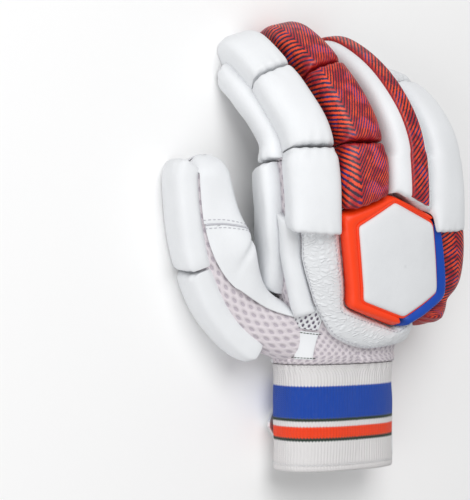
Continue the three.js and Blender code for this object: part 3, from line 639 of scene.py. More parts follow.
def limb_pad(limb, start, end, half_width, thickness, shape):
    """A padded roll over the back of a limb. shape holds its taper, lowest end, squareness, side and base, and
    may hold a foot: the least place for each distance across, towards which the rows near the start are moved."""
    places, lifts, opened = end_rows(start, end, shape["taper"], shape["lowest"], END_ROWS, ROLL_STEP)
    across, up, down = pad_loop(ROLL_COLUMNS, shape["squareness"])
    s = places[:, None] + 0 * across
    if "foot" in shape:
        foot = shape["foot"](half_width(np.array(start)) * across)
        s = s + np.maximum(foot - start, 0) * (1 - smooth((s - start) / (0.6 * (end - start))))
    height = limb.half_height(s)
    side = height + shape["side"] * thickness
    top = height + CLEARANCE + thickness * lifts[:, None]
    side = np.minimum(side, top - 0.5)
    base = shape["base"] * height
    n = side + (top - side) * up - (side - base) * down
    middle = (top + base) / 2
    n = middle + (n - middle) * opened[:, None]
    b = half_width(s) * across * (1 - 0.05 * (1 - lifts[:, None])) * opened[:, None]
    points = limb.back_of(s, b, n)
    from_seam = np.minimum(places - start, end - places)[:, None] + 0 * b
    return points, b, from_seam, np.broadcast_to(down > 0, b.shape)


def dent(points, b, from_seam, seed, soft, depth, spacing):
    """Uneven padding and puckered seams, moved along the surface's normals."""
    s = np.arange(points.shape[0])[:, None] * 2.0
    uneven = soft * ripple(b, s + 0 * b, seed, 34.0)
    amount = uneven + puckers(b, from_seam, seed + 7, depth, spacing, PUCKER_REACH)
    return points + outward(points) * amount[..., None]


def strip_pad(start, end, middle, width, thickness, taper, lowest, squareness):
    """A straight pad along the hand: superellipse loops with rounded ends."""
    places, lifts, opened = end_rows(start, end, taper, lowest, END_ROWS, 2.0)
    across, up, down = pad_loop(64, squareness, 6.0)
    side = 0.25 * thickness * lifts[:, None]
    top = thickness * lifts[:, None]
    n = side + (top - side) * up - (side - SUNK) * down
    centre = (top + SUNK) / 2
    n = centre + (n - centre) * opened[:, None]
    b = (width / 2) * across * opened[:, None]
    points = back_point(places[:, None] + 0 * b, middle + b, n)
    from_seam = np.minimum(places - start, end - places)[:, None] + 0 * b
    return points, b, from_seam, np.broadcast_to(down > 0, b.shape)


def thin_strip(start, end, taper, middle, half, half_thickness, columns):
    """A thin flat strip along the hand, its edges and ends rounded."""
    places, _, opened = end_rows(start, end, taper, 0.9, 3, 1.5)
    across, up, down = pad_loop(columns, 10.0, 10.0)
    height = CLEARANCE + half_thickness * (1 + (up - down) * opened[:, None])
    return back_point(places[:, None], middle + half * across * opened[:, None], height)


# The plate's outline

def corner_values(place):
    """The outline's row of values at a place counted in corners, read between its two corners."""
    at = np.mod(place, len(PLATE_CORNERS))
    i = np.floor(at).astype(int)
    following = PLATE_CORNERS[(i + 1) % len(PLATE_CORNERS)]
    return mix(PLATE_CORNERS[i], following, (at - i)[..., None])


def on_outline(place, reach_of):
    """A point beside the outline, with its corners rounded by a weighted mean of five places near it."""
    total = 0.0
    for offset, weight in ((-1, 1), (-0.5, 2), (0, 3), (0.5, 2), (1, 1)):
        values = corner_values(np.asarray(place, float) + offset * CORNER_ROUNDING)
        reach = reach_of(values[..., 2])
        along = PLATE_ALONG + values[..., 1] * (PLATE_HALF_LENGTH + reach)
        across = PLATE_AROUND + values[..., 0] * (PLATE_HALF_WIDTH + reach)
        total = total + weight * np.stack([along, across], axis=-1)
    return total / 9


def inner_edge(border):
    return SEAM_GAP * np.minimum(1, 3 * border)


def border_edge(border):
    return SEAM_GAP + BORDER_WIDTH * border


def outer_start(border):
    return border_edge(border) + SEAM_GAP


def gauntlet_outside(place):
    """The gauntlet's outer edge: half way between straight lines and a smooth curve through its table."""
    places = GAUNTLET_EDGE[:, 0]
    order = len(places) - 1
    across = np.polyval(np.polyfit(places, GAUNTLET_EDGE[:, 1], order), place)
    along = np.polyval(np.polyfit(places, GAUNTLET_EDGE[:, 2], order), place)
    straight = np.stack([np.interp(place, places, GAUNTLET_EDGE[:, k]) for k in (2, 1)], axis=-1)
    curved = np.stack([along, across], axis=-1)
    shares = mix(straight, curved, 0.5)
    return np.array([PLATE_ALONG, PLATE_AROUND]) + shares * np.array([PLATE_HALF_LENGTH, PLATE_HALF_WIDTH])


def band_pad(start, end, inner, outer, thickness, profile, taper, lowest, edge=7.0, cols=64, rows=90):
    """A pad between two edges that run round the plate: its height is the profile's curve, rounded off."""
    across, up, down = pad_loop(cols, 5.0, 6.0)
    share = (across + 1) / 2
    eased = (1 - np.cos(np.linspace(0, math.pi, rows))) / 2
    places = mix(start, end, np.concatenate([[0, 0], eased, [1, 1]]))
    a, b = inner(places), outer(places)
    length = np.abs(np.concatenate([[0], np.cumsum(np.linalg.norm(np.diff((a + b) / 2, axis=0), axis=1))]))
    from_end = np.minimum(length, length[-1] - length)
    lift = lowest + (1 - lowest) * np.sqrt(1 - (1 - np.clip(from_end / taper, 0, 1)) ** 2)
    opened = opened_rows(rows)
    knots = np.linspace(0, 1, len(profile))
    crown = np.polyval(np.polyfit(knots, profile, len(profile) - 1), share)
    round_off = np.maximum(1 - np.abs(across) ** edge, 0) ** (1 / 2.5)
    top = thickness * lift[:, None] * crown * round_off
    n = np.where(up > 0, top, SUNK * down)
    centre = (thickness * lift[:, None] + SUNK) / 2
    n = centre + (n - centre) * opened[:, None]
    shares = 0.5 + (share - 0.5) * opened[:, None]
    flat = mix(a[:, None, :], b[:, None, :], shares[..., None])
    points = back_point(flat[..., 0], flat[..., 1], n)
    from_seam = from_end[:, None] + 0 * n
    sideways = across * np.linalg.norm(b - a, axis=1)[:, None] / 2
    return points, sideways, from_seam, np.broadcast_to(down > 0, n.shape)


# Thread and piping

def path_lengths(path):
    return np.concatenate([[0.0], np.cumsum(np.linalg.norm(np.diff(path, axis=0), axis=1))])


def resampled(path, count):
    """The same path with even spacing, each coordinate read at even lengths."""
    lengths = path_lengths(path)
    marks = np.linspace(0, lengths[-1], count)
    return np.stack([np.interp(marks, lengths, path[:, k]) for k in range(path.shape[1])], axis=-1)


def path_axes(path, up):
    """Tangent, side and normal along a path, the normal being the part of up that is square to it."""
    tangent = np.gradient(path, axis=0)
    tangent /= np.maximum(np.linalg.norm(tangent, axis=1, keepdims=True), 1e-9)
    side = np.cross(tangent, up)
    side /= np.maximum(np.linalg.norm(side, axis=1, keepdims=True), 1e-9)
    return tangent, side, np.cross(side, tangent)


def welt(name, path, up, radius, ring=False):
    """Piping: a circle of ten points carried along a path, thinned at its two ends."""
    _, side, normal = path_axes(path, up)
    angle = 2 * math.pi * np.arange(10) / 10
    size = np.full(len(path), radius)
    if not ring:
        size[0] = size[-1] = radius * 0.4
    circle = side[:, None, :] * np.cos(angle)[:, None] + normal[:, None, :] * np.sin(angle)[:, None]
    return surface(name, path[:, None, :] + circle * size[:, None, None], ring=ring)


STITCH_RINGS = np.array([[-0.5, 0.35], [-0.34, 0.95], [0.0, 1.0], [0.34, 0.95], [0.5, 0.35]])


def stitches(name, paths, spacing, length=STITCH["length"], radius=STITCH["radius"]):
    """Rows of thread: one short rounded stitch, turned to each place along the paths of (path, up)."""
    angle = 2 * math.pi * np.arange(6) / 6
    x = np.repeat(STITCH_RINGS[:, 0], 6) * length
    r = np.repeat(STITCH_RINGS[:, 1], 6) * radius
    template = np.stack([x, r * np.tile(np.cos(angle), 5), r * np.tile(np.sin(angle), 5)], axis=1)
    quads = sheet_of_faces(5, 6, False)
    caps = np.array([[0, 5, 4, 3], [0, 3, 2, 1], [24, 25, 26, 27], [24, 27, 28, 29]])
    faces = np.vstack([quads, caps])
    if signed_volume(template, faces) < 0:
        faces = faces[:, ::-1]
    vertices, all_faces, total = [], [], 0
    for path, up in paths:
        count = max(int(path_lengths(path)[-1] / spacing), 2)
        both = resampled(np.hstack([path, np.broadcast_to(up, path.shape)]), count)
        tangent, side, normal = path_axes(both[:, :3], both[:, 3:])
        axes = np.stack([tangent, side, normal], axis=1)
        placed = both[:, None, :3] + np.einsum("kj,njl->nkl", template, axes)
        vertices.append(placed.reshape(-1, 3))
        offsets = total + np.arange(count)[:, None, None] * len(template)
        all_faces.append((faces[None] + offsets).reshape(-1, 4))
        total += count * len(template)
    joined = np.vstack(all_faces)
    return mesh_object(name, np.vstack(vertices), [(joined, np.zeros(joined.shape + (2,)))])


# Finishes

def linear(red, green, blue):
    """A screen colour, 0 to 255, as the linear values that Blender works in."""
    shares = np.array([red, green, blue]) / 255
    values = np.where(shares > 0.04045, ((shares + 0.055) / 1.055) ** 2.4, shares / 12.92)
    return tuple(float(x) for x in values)


def shaded(colour, share):
    """The colour made darker to a share of itself."""
    return tuple(share * c for c in colour)


class Finish:
    """A material whose nodes are added one after another to a Principled shader."""

    def __init__(self, name, roughness=0.5):
        self.material = bpy.data.materials.new(name)
        self.material.use_nodes = True
        self.tree = self.material.node_tree
        self.shader = self.tree.nodes["Principled BSDF"]
        self.shader.inputs["Roughness"].default_value = roughness

    def node(self, kind, inputs, **settings):
        made = self.tree.nodes.new("ShaderNode" + kind)
        for key, value in settings.items():
            setattr(made, key, value)
        for key, value in inputs.items():
            if isinstance(value, bpy.types.NodeSocket):
                self.tree.links.new(value, made.inputs[key])
            else:
                made.inputs[key].default_value = value
        return made

    def math(self, operation, a, b=0.0, c=0.0):
        return self.node("Math", {0: a, 1: b, 2: c}, operation=operation).outputs[0]

    def times(self, a, b):
        return self.math("MULTIPLY", a, b)

    def plus(self, a, b):
        return self.math("ADD", a, b)

    def less(self, a, b):
        return self.math("SUBTRACT", a, b)

    def ease(self, x, low, high):
        """0 below low, 1 above high and a smooth step between them."""
        inputs = {"Value": x, "From Min": low, "From Max": high}
        return self.node("MapRange", inputs, interpolation_type="SMOOTHSTEP").outputs[0]

    def rest(self, x):
        """One less x."""
        return self.less(1.0, x)

    def within(self, x, low, high, soft):
        """1 between low and high and 0 outside them, with soft edges."""
        above, below = self.ease(x, low - soft, low + soft), self.rest(self.ease(x, high - soft, high + soft))
        return self.times(above, below)

    def cell(self, x, size, shift):
        """The share of the way through the cell of that size in which x lies; the shift keeps x above zero."""
        return self.math("FRACT", self.plus(self.math("DIVIDE", x, size), shift))

    def crease_shaded(self, tone, amount, deep):
        """The tone with painted shade: darkened by an amount in seams and creases."""
        return self.blend(self.times(self.crease_shade(), amount), tone, deep)

    def blend(self, share, a, b):
        a, b = (x if isinstance(x, bpy.types.NodeSocket) else (*x, 1.0) for x in (a, b))
        return self.node("Mix", {0: share, 6: a, 7: b}, data_type="RGBA").outputs[2]

    def places(self):
        """Object coordinates, which are the frame's own metres."""
        return self.node("TexCoord", {}).outputs["Object"]

    def cloth(self):
        """Millimetres across and along the piece, from its own UV map."""
        uv = self.node("UVMap", {}, uv_map="cloth").outputs[0]
        parts = self.node("SeparateXYZ", {0: uv})
        return parts.outputs[0], parts.outputs[1]

    def point(self, x, y):
        return self.node("CombineXYZ", {0: x, 1: y, 2: 0.0}).outputs[0]

    def noise(self, where, scale, detail=2.0):
        return self.node("TexNoise", {"Vector": where, "Scale": scale, "Detail": detail}).outputs[0]

    def bands(self, inputs):
        return self.node("TexWave", inputs, wave_type="BANDS", bands_direction="DIAGONAL").outputs["Fac"]

    def crease_shade(self):
        """How near a point is to a seam or a crease, from 1 at it to 0 away from it; it weights the painted shade
        there.
        """
        return self.node("Attribute", {}, attribute_name="crease_shade").outputs["Fac"]

    def colour(self, socket):
        self.tree.links.new(socket, self.shader.inputs["Base Color"])

    def relief(self, layers):
        """Bumps in a chain: each layer is (height, distance in metres, strength)."""
        normal = None
        for height, distance, strength in layers:
            inputs = {"Height": height, "Distance": distance, "Strength": strength}
            if normal is not None:
                inputs["Normal"] = normal
            normal = self.node("Bump", inputs).outputs[0]
        self.tree.links.new(normal, self.shader.inputs["Normal"])


def grain_layers(finish, where, depth):
    """Leather grain: small pebbled cells, finer pores over them, and soft unevenness under them."""
    cells = finish.node("TexVoronoi", {"Vector": where, "Scale": 1150.0}, feature="F1").outputs[0]
    pores = finish.noise(where, 2600.0, 1.0)
    soft = finish.noise(where, 70.0, 2.0)
    return [(soft, 0.0012, 0.25), (cells, 0.00025, depth), (pores, 0.0001, 0.5 * depth)]


def leather(name, colour, roughness=0.5, depth=0.3, shade=0.82):
    """Smooth glove leather: a little colour change, painted shade darkening the creases and seams, and a fine
    grain.
    """
    finish = Finish(name, roughness)
    where = finish.places()
    cloudy = finish.noise(where, 32.0, 3.0)
    tone = finish.blend(finish.ease(cloudy, 0.35, 0.7), colour, shaded(colour, 0.965))
    # Painted shade: the colour darkens to the shade share of itself in seams and creases
    finish.colour(finish.crease_shaded(tone, 0.6, shaded(colour, shade)))
    varied = finish.ease(finish.noise(where, 90.0, 2.0), 0.2, 0.8)
    rough = finish.math("MULTIPLY_ADD", varied, 0.14, roughness - 0.07)
    finish.tree.links.new(rough, finish.shader.inputs["Roughness"])
    finish.shader.inputs["Specular IOR Level"].default_value = 0.4
    finish.relief(grain_layers(finish, where, depth))
    return finish.material


def perforated_leather(name, colour, pitch, hole):
    """The same leather with staggered rows of small punched holes, pitch apart in millimetres."""
    finish = Finish(name, 0.5)
    x, y = finish.cloth()
    distance = lattice(finish, x, y, pitch, pitch)
    inside = finish.rest(finish.ease(distance, 0.75 * hole, 1.1 * hole))
    where = finish.places()
    # Painted shade: the punched holes are near black, for the shade inside them
    finish.colour(finish.blend(inside, colour, (0.02, 0.02, 0.03)))
    dip = finish.ease(distance, 0.6 * hole, 2.2 * hole)
    finish.relief(grain_layers(finish, where, 0.3) + [(dip, 0.0006, 0.8)])
    return finish.material


def lattice(finish, x, y, wide, high):
    """Millimetres to the nearest point of a staggered lattice whose rows are half of high apart."""
    distances = []
    for offset in (0.0, 0.5):
        squares = []
        for place, size, stretch in ((x, wide, wide), (y, high, 0.7 * high)):
            cell = finish.cell(place, size, 100.0 + offset)
            away = finish.times(finish.less(cell, 0.5), stretch)
            squares.append(finish.math("POWER", finish.math("ABSOLUTE", away), 2.0))
        distances.append(finish.math("SQRT", finish.plus(*squares)))
    return finish.math("MINIMUM", *distances)


def air_mesh(name, colour, lining_and_hole_shade, wide, high, hole):
    """Knitted air mesh: a staggered lattice of long holes in soft ridges, with fine yarn over it."""
    finish = Finish(name, 0.85)
    x, y = finish.cloth()
    where = finish.places()
    distance = lattice(finish, x, y, wide, high)
    ragged = finish.math("MULTIPLY_ADD", finish.noise(where, 1500.0, 1.0), 0.5, -0.25)
    distance = finish.plus(distance, ragged)
    ground = finish.ease(distance, 0.7 * hole, 1.25 * hole)
    twisted = {"Vector": finish.point(x, y), "Scale": 0.9, "Distortion": 2.0, "Detail": 1.0}
    yarn = finish.bands(twisted)
    tone = finish.blend(finish.times(yarn, 0.3), colour, shaded(colour, 0.88))
    # Painted shade: the mesh darkens in seams and creases
    tone = finish.crease_shaded(tone, 0.5, shaded(colour, 0.8))
    # The holes show the lining's colour, darkened with painted shade inside them
    finish.colour(finish.blend(ground, lining_and_hole_shade, tone))
    finish.shader.inputs["Sheen Weight"].default_value = 0.25
    finish.relief([(finish.ease(distance, 0.2 * hole, 2.0 * hole), 0.0011, 0.8), (yarn, 0.0002, 0.5)])
    return finish.material


def hatched_leather(name, colours, pitch, slope, turned, spine_at):
    """Leather printed with slanting strokes. A stroke's phase is the distance along less a slope times the
    distance from a spine; past the spine the slope is another one, so that the strokes turn back there. Soft
    patches have red or orange strokes on dark ink, or orange ones on blue."""
    finish = Finish(name, 0.42)
    x, y = finish.cloth()
    red, orange, blue, dark = colours
    from_spine = finish.less(spine_at, x)
    lean, back = (finish.times(from_spine, by) for by in (slope, -turned))
    lean = finish.math("MAXIMUM", lean, back)
    wavy = finish.math("MULTIPLY_ADD", finish.noise(finish.point(x, y), 0.5, 1.0), 0.9, -0.45)
    saw = finish.cell(finish.plus(finish.less(y, lean), wavy), pitch, 200.0)
    wave = finish.math("ABSOLUTE", finish.math("MULTIPLY_ADD", saw, 2.0, -1.0))
    width = finish.math("MULTIPLY_ADD", finish.noise(finish.point(x, y), 0.8, 1.0), 0.6, 0.18)
    stroke = finish.ease(finish.less(wave, width), -0.12, 0.12)
    warm = finish.ease(finish.noise(finish.point(x, y), 0.09, 2.0), 0.42, 0.58)
    cool = finish.ease(finish.noise(finish.point(y, x), 0.07, 2.0), 0.5, 0.66)
    line = finish.blend(cool, finish.blend(warm, red, orange), orange)
    ground = finish.blend(cool, dark, blue)
    tone = finish.blend(stroke, ground, line)
    # Painted shade: the strokes darken to a deep red in seams and creases
    finish.colour(finish.crease_shaded(tone, 0.8, shaded(red, 0.8)))
    finish.relief(grain_layers(finish, finish.places(), 0.25) + [(stroke, 0.00018, 0.5)])
    return finish.material


def embossed_leather(name, colour):
    """White leather pressed with an uneven brick-like hide grain, its rows broken and leaning."""
    finish = Finish(name, 0.5)
    x, y = finish.cloth()
    where = finish.places()
    uneven = {"Vector": finish.point(x, y), "Scale": 0.15, "Detail": 2.0}
    wander = finish.node("TexNoise", uneven).outputs["Color"]
    moved = finish.node("VectorMath", {0: wander, 1: (-0.5, -0.5, 0.0)}, operation="ADD").outputs[0]
    moved = finish.node("VectorMath", {0: moved, "Scale": 5.0}, operation="SCALE").outputs[0]
    moved = finish.node("VectorMath", {0: moved, 1: finish.point(x, y)}, operation="ADD").outputs[0]
    stretched = finish.node("VectorMath", {0: moved, 1: (0.17, 0.36, 0.0)}, operation="MULTIPLY").outputs[0]
    edges = finish.node("TexVoronoi", {"Vector": stretched, "Scale": 1.0, "Randomness": 0.75},
                        feature="DISTANCE_TO_EDGE").outputs["Distance"]
    raised = finish.ease(edges, 0.0, 0.32)
    # Painted shade: the leather is darker in the low grooves of the pressed grain
    finish.colour(finish.blend(raised, shaded(colour, 0.92), colour))
    finish.relief([(raised, 0.0007, 0.6)] + grain_layers(finish, where, 0.25))
    return finish.material


def knit(name, colour, bands, edge):
    """Ribbed elastic knit: columns of slanting loops, with coloured bands across it. bands are (from, to,
    colour) in millimetres along; the bands' edges step up and down with the loops."""
    finish = Finish(name, 0.9)
    x, y = finish.cloth()
    where = finish.places()
    rib = finish.cell(x, 2.4, 200.0)
    from_middle = finish.math("ABSOLUTE", finish.math("MULTIPLY_ADD", rib, 2.0, -1.0))
    loops = finish.cell(finish.plus(y, from_middle), 1.5, 200.0)
    bead = finish.math("SINE", finish.times(loops, math.pi))
    stepped = finish.math("MULTIPLY_ADD", from_middle, edge, y)
    # Painted shade: the knit is darker where its loops sink between one another
    tone = finish.blend(finish.times(bead, 0.5), shaded(colour, 0.86), colour)
    light = finish.ease(finish.noise(where, 1400.0, 1.0), 0.62, 0.72)
    for start, end, band in bands:
        inside = finish.within(stepped, start, end, 0.15)
        thread = finish.blend(finish.times(light, 0.14), band, colour)
        # Painted shade: each band is darker where its loops sink
        deep = finish.blend(bead, shaded(band, 0.62), thread)
        tone = finish.blend(inside, tone, deep)
    finish.colour(tone)
    finish.shader.inputs["Sheen Weight"].default_value = 0.06
    height = finish.times(bead, finish.rest(finish.times(from_middle, 0.7)))
    finish.relief([(finish.rest(from_middle), 0.0006, 0.5), (height, 0.0004, 0.7)])
    return finish.material


def banded_strap(name, colour, bands=()):
    """A smooth woven-backed strap whose coloured bands lie at distances along it."""
    finish = Finish(name, 0.55)
    place = finish.cloth()[1]
    tone = finish.blend(finish.ease(finish.noise(finish.places(), 45.0, 2.0), 0.3, 0.7), colour,
                        shaded(colour, 0.96))
    for start, end, band in bands:
        tone = finish.blend(finish.within(place, start, end, 0.1), tone, band)
    finish.colour(tone)
    finish.relief(grain_layers(finish, finish.places(), 0.2))
    return finish.material


def plain_thread(name, colour, roughness=0.7):
    """Thread or piping: a twist of fine diagonal bands in one colour."""
    finish = Finish(name, roughness)
    where = finish.places()
    twist = finish.bands({"Vector": where, "Scale": 900.0, "Distortion": 1.0})
    finish.colour(finish.blend(finish.times(twist, 0.35), colour, shaded(colour, 0.75)))
    finish.relief([(twist, 0.0002, 0.4)])
    return finish.material


# Settings in the sidebar

def colour_setting(label, words, value):
    return FloatVectorProperty(
        name=label, description=words, subtype="COLOR", size=3, min=0, max=1, default=value
    )


def length_setting(label, words, value):
    return FloatProperty(name=label, description=words, subtype="DISTANCE", unit="LENGTH", default=value * MM)


class GlovePadding(bpy.types.PropertyGroup):
    """How full and how creased the padding is."""

    unevenness: length_setting("Unevenness", "Depth of the soft dents in the padding", 0.35)
    pucker_depth: length_setting("Pucker depth", "Depth of the small folds at the seams", 0.9)
    pucker_spacing: length_setting("Pucker spacing", "Distance between the folds at the seams", 7.0)
    pressure: FloatProperty(
        name="Pressure", description="Pressure that swells the padding", default=4.0, min=0
    )
    swell_cap: length_setting("Largest swelling", "How far the padding may swell", 1.6)


class GloveColours(bpy.types.PropertyGroup):
    """Colours of the leather, mesh, knit and thread."""

    leather: colour_setting("Leather", "White leather", (0.80, 0.815, 0.835))
    mesh: colour_setting("Mesh", "Air mesh and lining", (0.76, 0.70, 0.735))
    # Mesh holes: the lining seen through them, darkened with painted shade
    mesh_lining_and_hole_shade: colour_setting("Mesh holes", "Seen through the holes of the mesh", (0.53, 0.475, 0.53))
    red: colour_setting("Red", "Deep strokes of the hatched leather", linear(176, 26, 32))
    flame: colour_setting("Flame", "Bright strokes of the hatched leather", linear(232, 72, 30))
    navy: colour_setting("Navy", "Blue ground of the hatched leather", linear(16, 36, 112))
    orange: colour_setting("Orange", "Orange leather and bands", linear(255, 66, 14))
    blue: colour_setting("Blue", "Blue leather and bands", linear(6, 70, 176))
    ink: colour_setting("Ink", "Dark ground of the hatched leather", linear(44, 16, 44))
    knit: colour_setting("Knit", "Ground of the knitted cuff", (0.82, 0.80, 0.80))
    line: colour_setting("Dark line", "Thin dark lines in the knit", (0.012, 0.035, 0.02))
    piping: colour_setting("Piping", "Pale grey piping and thread", (0.56, 0.56, 0.60))


class GloveTrim(bpy.types.PropertyGroup):
    """Sizes of the mesh's holes, the hatching and the stitches."""

    hole_wide: length_setting("Hole spacing across", "Distance between the mesh's holes in a row", 5.9)
    hole_high: length_setting("Hole spacing along", "Distance between every other row of holes", 8.6)
    hole_size: length_setting("Hole radius", "Half the width of a hole in the mesh", 1.15)
    hatch_pitch: length_setting("Hatch pitch", "Distance along between two strokes", 4.0)
    stitch_spacing: length_setting("Stitch spacing", "Distance between stitches", 3.2)
    piping_radius: length_setting("Piping radius", "Half the thickness of the piping", 0.8)


class GloveStage(bpy.types.PropertyGroup):
    """The camera and the light."""

    tilt: FloatProperty(name="Tilt", description="The camera's angle from straight above, to the thumb side",
                        subtype="ANGLE", unit="ROTATION", default=math.radians(35))
    distance: length_setting("Distance", "From the camera to the middle of the fingers' roots", 1300)
    scale: length_setting("Scale", "Size of one pixel of the photograph there", 0.73)
    key: FloatProperty(
        name="Key light", description="Power of the large soft light", default=20.0, unit="POWER"
    )
    sky: FloatProperty(name="Surroundings", description="Strength of the even light all round", default=0.44)


SETTINGS = {
    "glove_padding": GlovePadding,
    "glove_colours": GloveColours,
    "glove_trim": GloveTrim,
    "glove_stage": GloveStage,
}


def millimetres(value):
    return value / MM


def stitch_spacing(context):
    return millimetres(context.scene.glove_trim.stitch_spacing)


FINISHES = {}


def finish_of(context, name):
    """The material of that name, made the first time that it is asked for."""
    if name in FINISHES:
        return FINISHES[name]
    colours, trim = context.scene.glove_colours, context.scene.glove_trim
    white, blue, orange = tuple(colours.leather), tuple(colours.blue), tuple(colours.orange)
    hatch = (tuple(colours.red), tuple(colours.flame), tuple(colours.navy), tuple(colours.ink))
    pitch = millimetres(trim.hatch_pitch)
    holes = (millimetres(trim.hole_wide), millimetres(trim.hole_high), millimetres(trim.hole_size))
    line = tuple(colours.line)
    cuff_bands = [(CUFF_LENGTH - high, CUFF_LENGTH - low, band) for low, high, band in
                  ((14.5, 37.5, blue), (37.5, 39.8, line), (43.6, 51.6, orange), (51.6, 53.9, line))]
    makers = {
        "white_leather": lambda: leather(name, white),
        # The last number of the orange and blue leather sets how dark their painted shade in seams and creases is
        "orange_leather": lambda: leather(name, orange, 0.42, 0.2, 0.55),
        "blue_leather": lambda: leather(name, blue, 0.42, 0.2, 0.5),
        "punched_leather": lambda: perforated_leather(name, white, 7.5, 0.85),
        "embossed_leather": lambda: embossed_leather(name, white),
        "hatched_roll": lambda: hatched_leather(name, hatch, pitch, 1.75, 0.55, 9.0),
        "hatched_strip": lambda: hatched_leather(name, hatch, pitch, 1.2, 1.2, 40.0),
        "hatched_pad": lambda: hatched_leather(name, hatch, pitch, 1.4, 0.8, 9.0),
        "air_mesh": lambda: air_mesh(name, tuple(colours.mesh), tuple(colours.mesh_lining_and_hole_shade), *holes),
        # The open mesh's holes show the hand's mesh under it, darkened with painted shade
        "open_mesh": lambda: air_mesh(name, tuple(colours.leather), linear(96, 86, 104), 4.4, 6.0, 0.9),
        "fine_mesh": lambda: air_mesh(name, tuple(colours.mesh), tuple(colours.mesh_lining_and_hole_shade), 3.6, 5.2, 0.75),
        "cuff_knit": lambda: knit(name, tuple(colours.knit), cuff_bands, 1.3),
        "strap_cloth": lambda: banded_strap(name, white, [(66.0, 82.0, blue), (86.0, 94.0, orange)]),
        "tab_cloth": lambda: banded_strap(name, white),
        "pale_piping": lambda: plain_thread(name, tuple(colours.piping)),
        "white_thread": lambda: plain_thread(name, shaded(white, 0.9)),
        "orange_thread": lambda: plain_thread(name, orange, 0.5),
        "dark_thread": lambda: plain_thread(name, line),
    }
    FINISHES[name] = makers[name]()
    return FINISHES[name]


def mark_crease_shade(piece, from_seam, reach=2.2):
    """Stores how near each vertex is to a seam: the exponential of minus its distance over the reach. It weights
    the painted shade in seams and creases.
    """
    values = np.exp(-np.asarray(from_seam, float).reshape(-1) / reach)
    values = np.concatenate([values, np.ones(len(piece.data.vertices) - len(values))])
    layer = piece.data.attributes.new("crease_shade", "FLOAT", "POINT")
    layer.data.foreach_set("value", values.astype(np.float32))


def dress(piece, context, finish, nodes=()):
    """Gives a piece its material, its body and the CAD nodes that it stands for."""
    piece.data.materials.append(finish_of(context, finish))
    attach(piece, "root")
    if nodes:
        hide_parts(*nodes)
    return piece


def refined(piece):
    """Rounds a piece with a subdivision surface of one level in the view and the render."""
    modifier = piece.modifiers.new("rounding", "SUBSURF")
    modifier.levels = modifier.render_levels = 1
    return piece


def on_the_floor(points, height=PRESSED):
    """Presses flat what would lie below the surface that the glove rests on."""
    points[..., 2] = np.maximum(points[..., 2], height)
    return points


PADS = {}


def vertices_of(piece):
    """A piece's vertices, in millimetres from the wrist."""
    places = np.zeros(len(piece.data.vertices) * 3)
    piece.data.vertices.foreach_get("co", places)
    return (places.reshape(-1, 3) - ORIGIN) / MM


def laid_on(piece, path, up):
    """The path moved along its up directions until it lies on the piece's highest vertex near it."""
    places = vertices_of(piece)
    up = up / np.linalg.norm(up, axis=1, keepdims=True)
    away = places[None] - path[:, None]
    rise = np.einsum("ijk,ik->ij", away, up)
    aside = np.linalg.norm(away - rise[..., None] * up[:, None], axis=2)
    weight = np.exp(-((aside / 1.5) ** 2)) * np.maximum(rise, 0) ** 8
    return path + up * ((weight * rise).sum(axis=1) / np.maximum(weight.sum(axis=1), 1e-9) + 0.25)[:, None]


def to_swell(piece, under):
    """Keeps which of a pad's vertices, its two poles too, stay pinned while it swells."""
    PADS[piece.name] = np.concatenate([under.reshape(-1), [True, True]])
    return piece


def padding(context, name, made, seed, finish, soft=1.0, swells=True):
    """A padded piece from its loops, dented and puckered at its seams."""
    points, b, from_seam, under = made
    sizes = context.scene.glove_padding
    points = dent(points, b, from_seam, seed, soft * millimetres(sizes.unevenness),
                  millimetres(sizes.pucker_depth), millimetres(sizes.pucker_spacing))
    piece = surface(f"{name}_padding", on_the_floor(points))
    # Painted shade darkens the pad towards its seams
    mark_crease_shade(piece, from_seam)
    dress(piece, context, finish, [name])
    if not swells:
        return refined(piece)
    return to_swell(piece, under)


# The hand, its palm and the cuff

def inside_thumb(points, margin):
    """Whether points lie inside the thumb's skin less a margin, by its superellipse at the nearest place."""
    s = np.arange(0.0, THUMB.dome, 2.0)
    centres = THUMB.centre(s)
    nearest = np.linalg.norm(points[:, None, :] - centres[None], axis=2).argmin(axis=1)
    tangent, back, across = THUMB.axes(s[nearest])
    away = points - centres[nearest]
    b, n, t = (np.einsum("ij,ij->i", away, axis) for axis in (across, back, tangent))
    shares = np.abs(b / (THUMB.half_width(s[nearest]) - margin)) ** TIP_SQUARENESS
    shares = shares + np.abs(n / (THUMB.half_height(s[nearest]) - margin)) ** TIP_SQUARENESS
    return (shares < 1) & (np.abs(t) < 6)


def open_where(piece, test):
    """Removes the faces whose corners all pass a test on their places in millimetres."""
    mesh = piece.data
    inside = test(vertices_of(piece))
    starts = np.zeros(len(mesh.polygons), int)
    sizes = np.zeros(len(mesh.polygons), int)
    corners = np.zeros(len(mesh.loops), int)
    mesh.polygons.foreach_get("loop_start", starts)
    mesh.polygons.foreach_get("loop_total", sizes)
    mesh.loops.foreach_get("vertex_index", corners)
    count = np.add.reduceat(inside[corners].astype(int), starts)
    doomed = np.flatnonzero(count == sizes)
    work = bmesh.new()
    work.from_mesh(mesh)
    work.faces.ensure_lookup_table()
    bmesh.ops.delete(work, geom=[work.faces[i] for i in doomed], context="FACES")
    work.to_mesh(mesh)
    work.free()


def tube_between(outer, inner):
    """Rows of an outside and of an inside run back, for a wall that is open at both ends."""
    return np.concatenate([outer, inner[::-1]], axis=0)


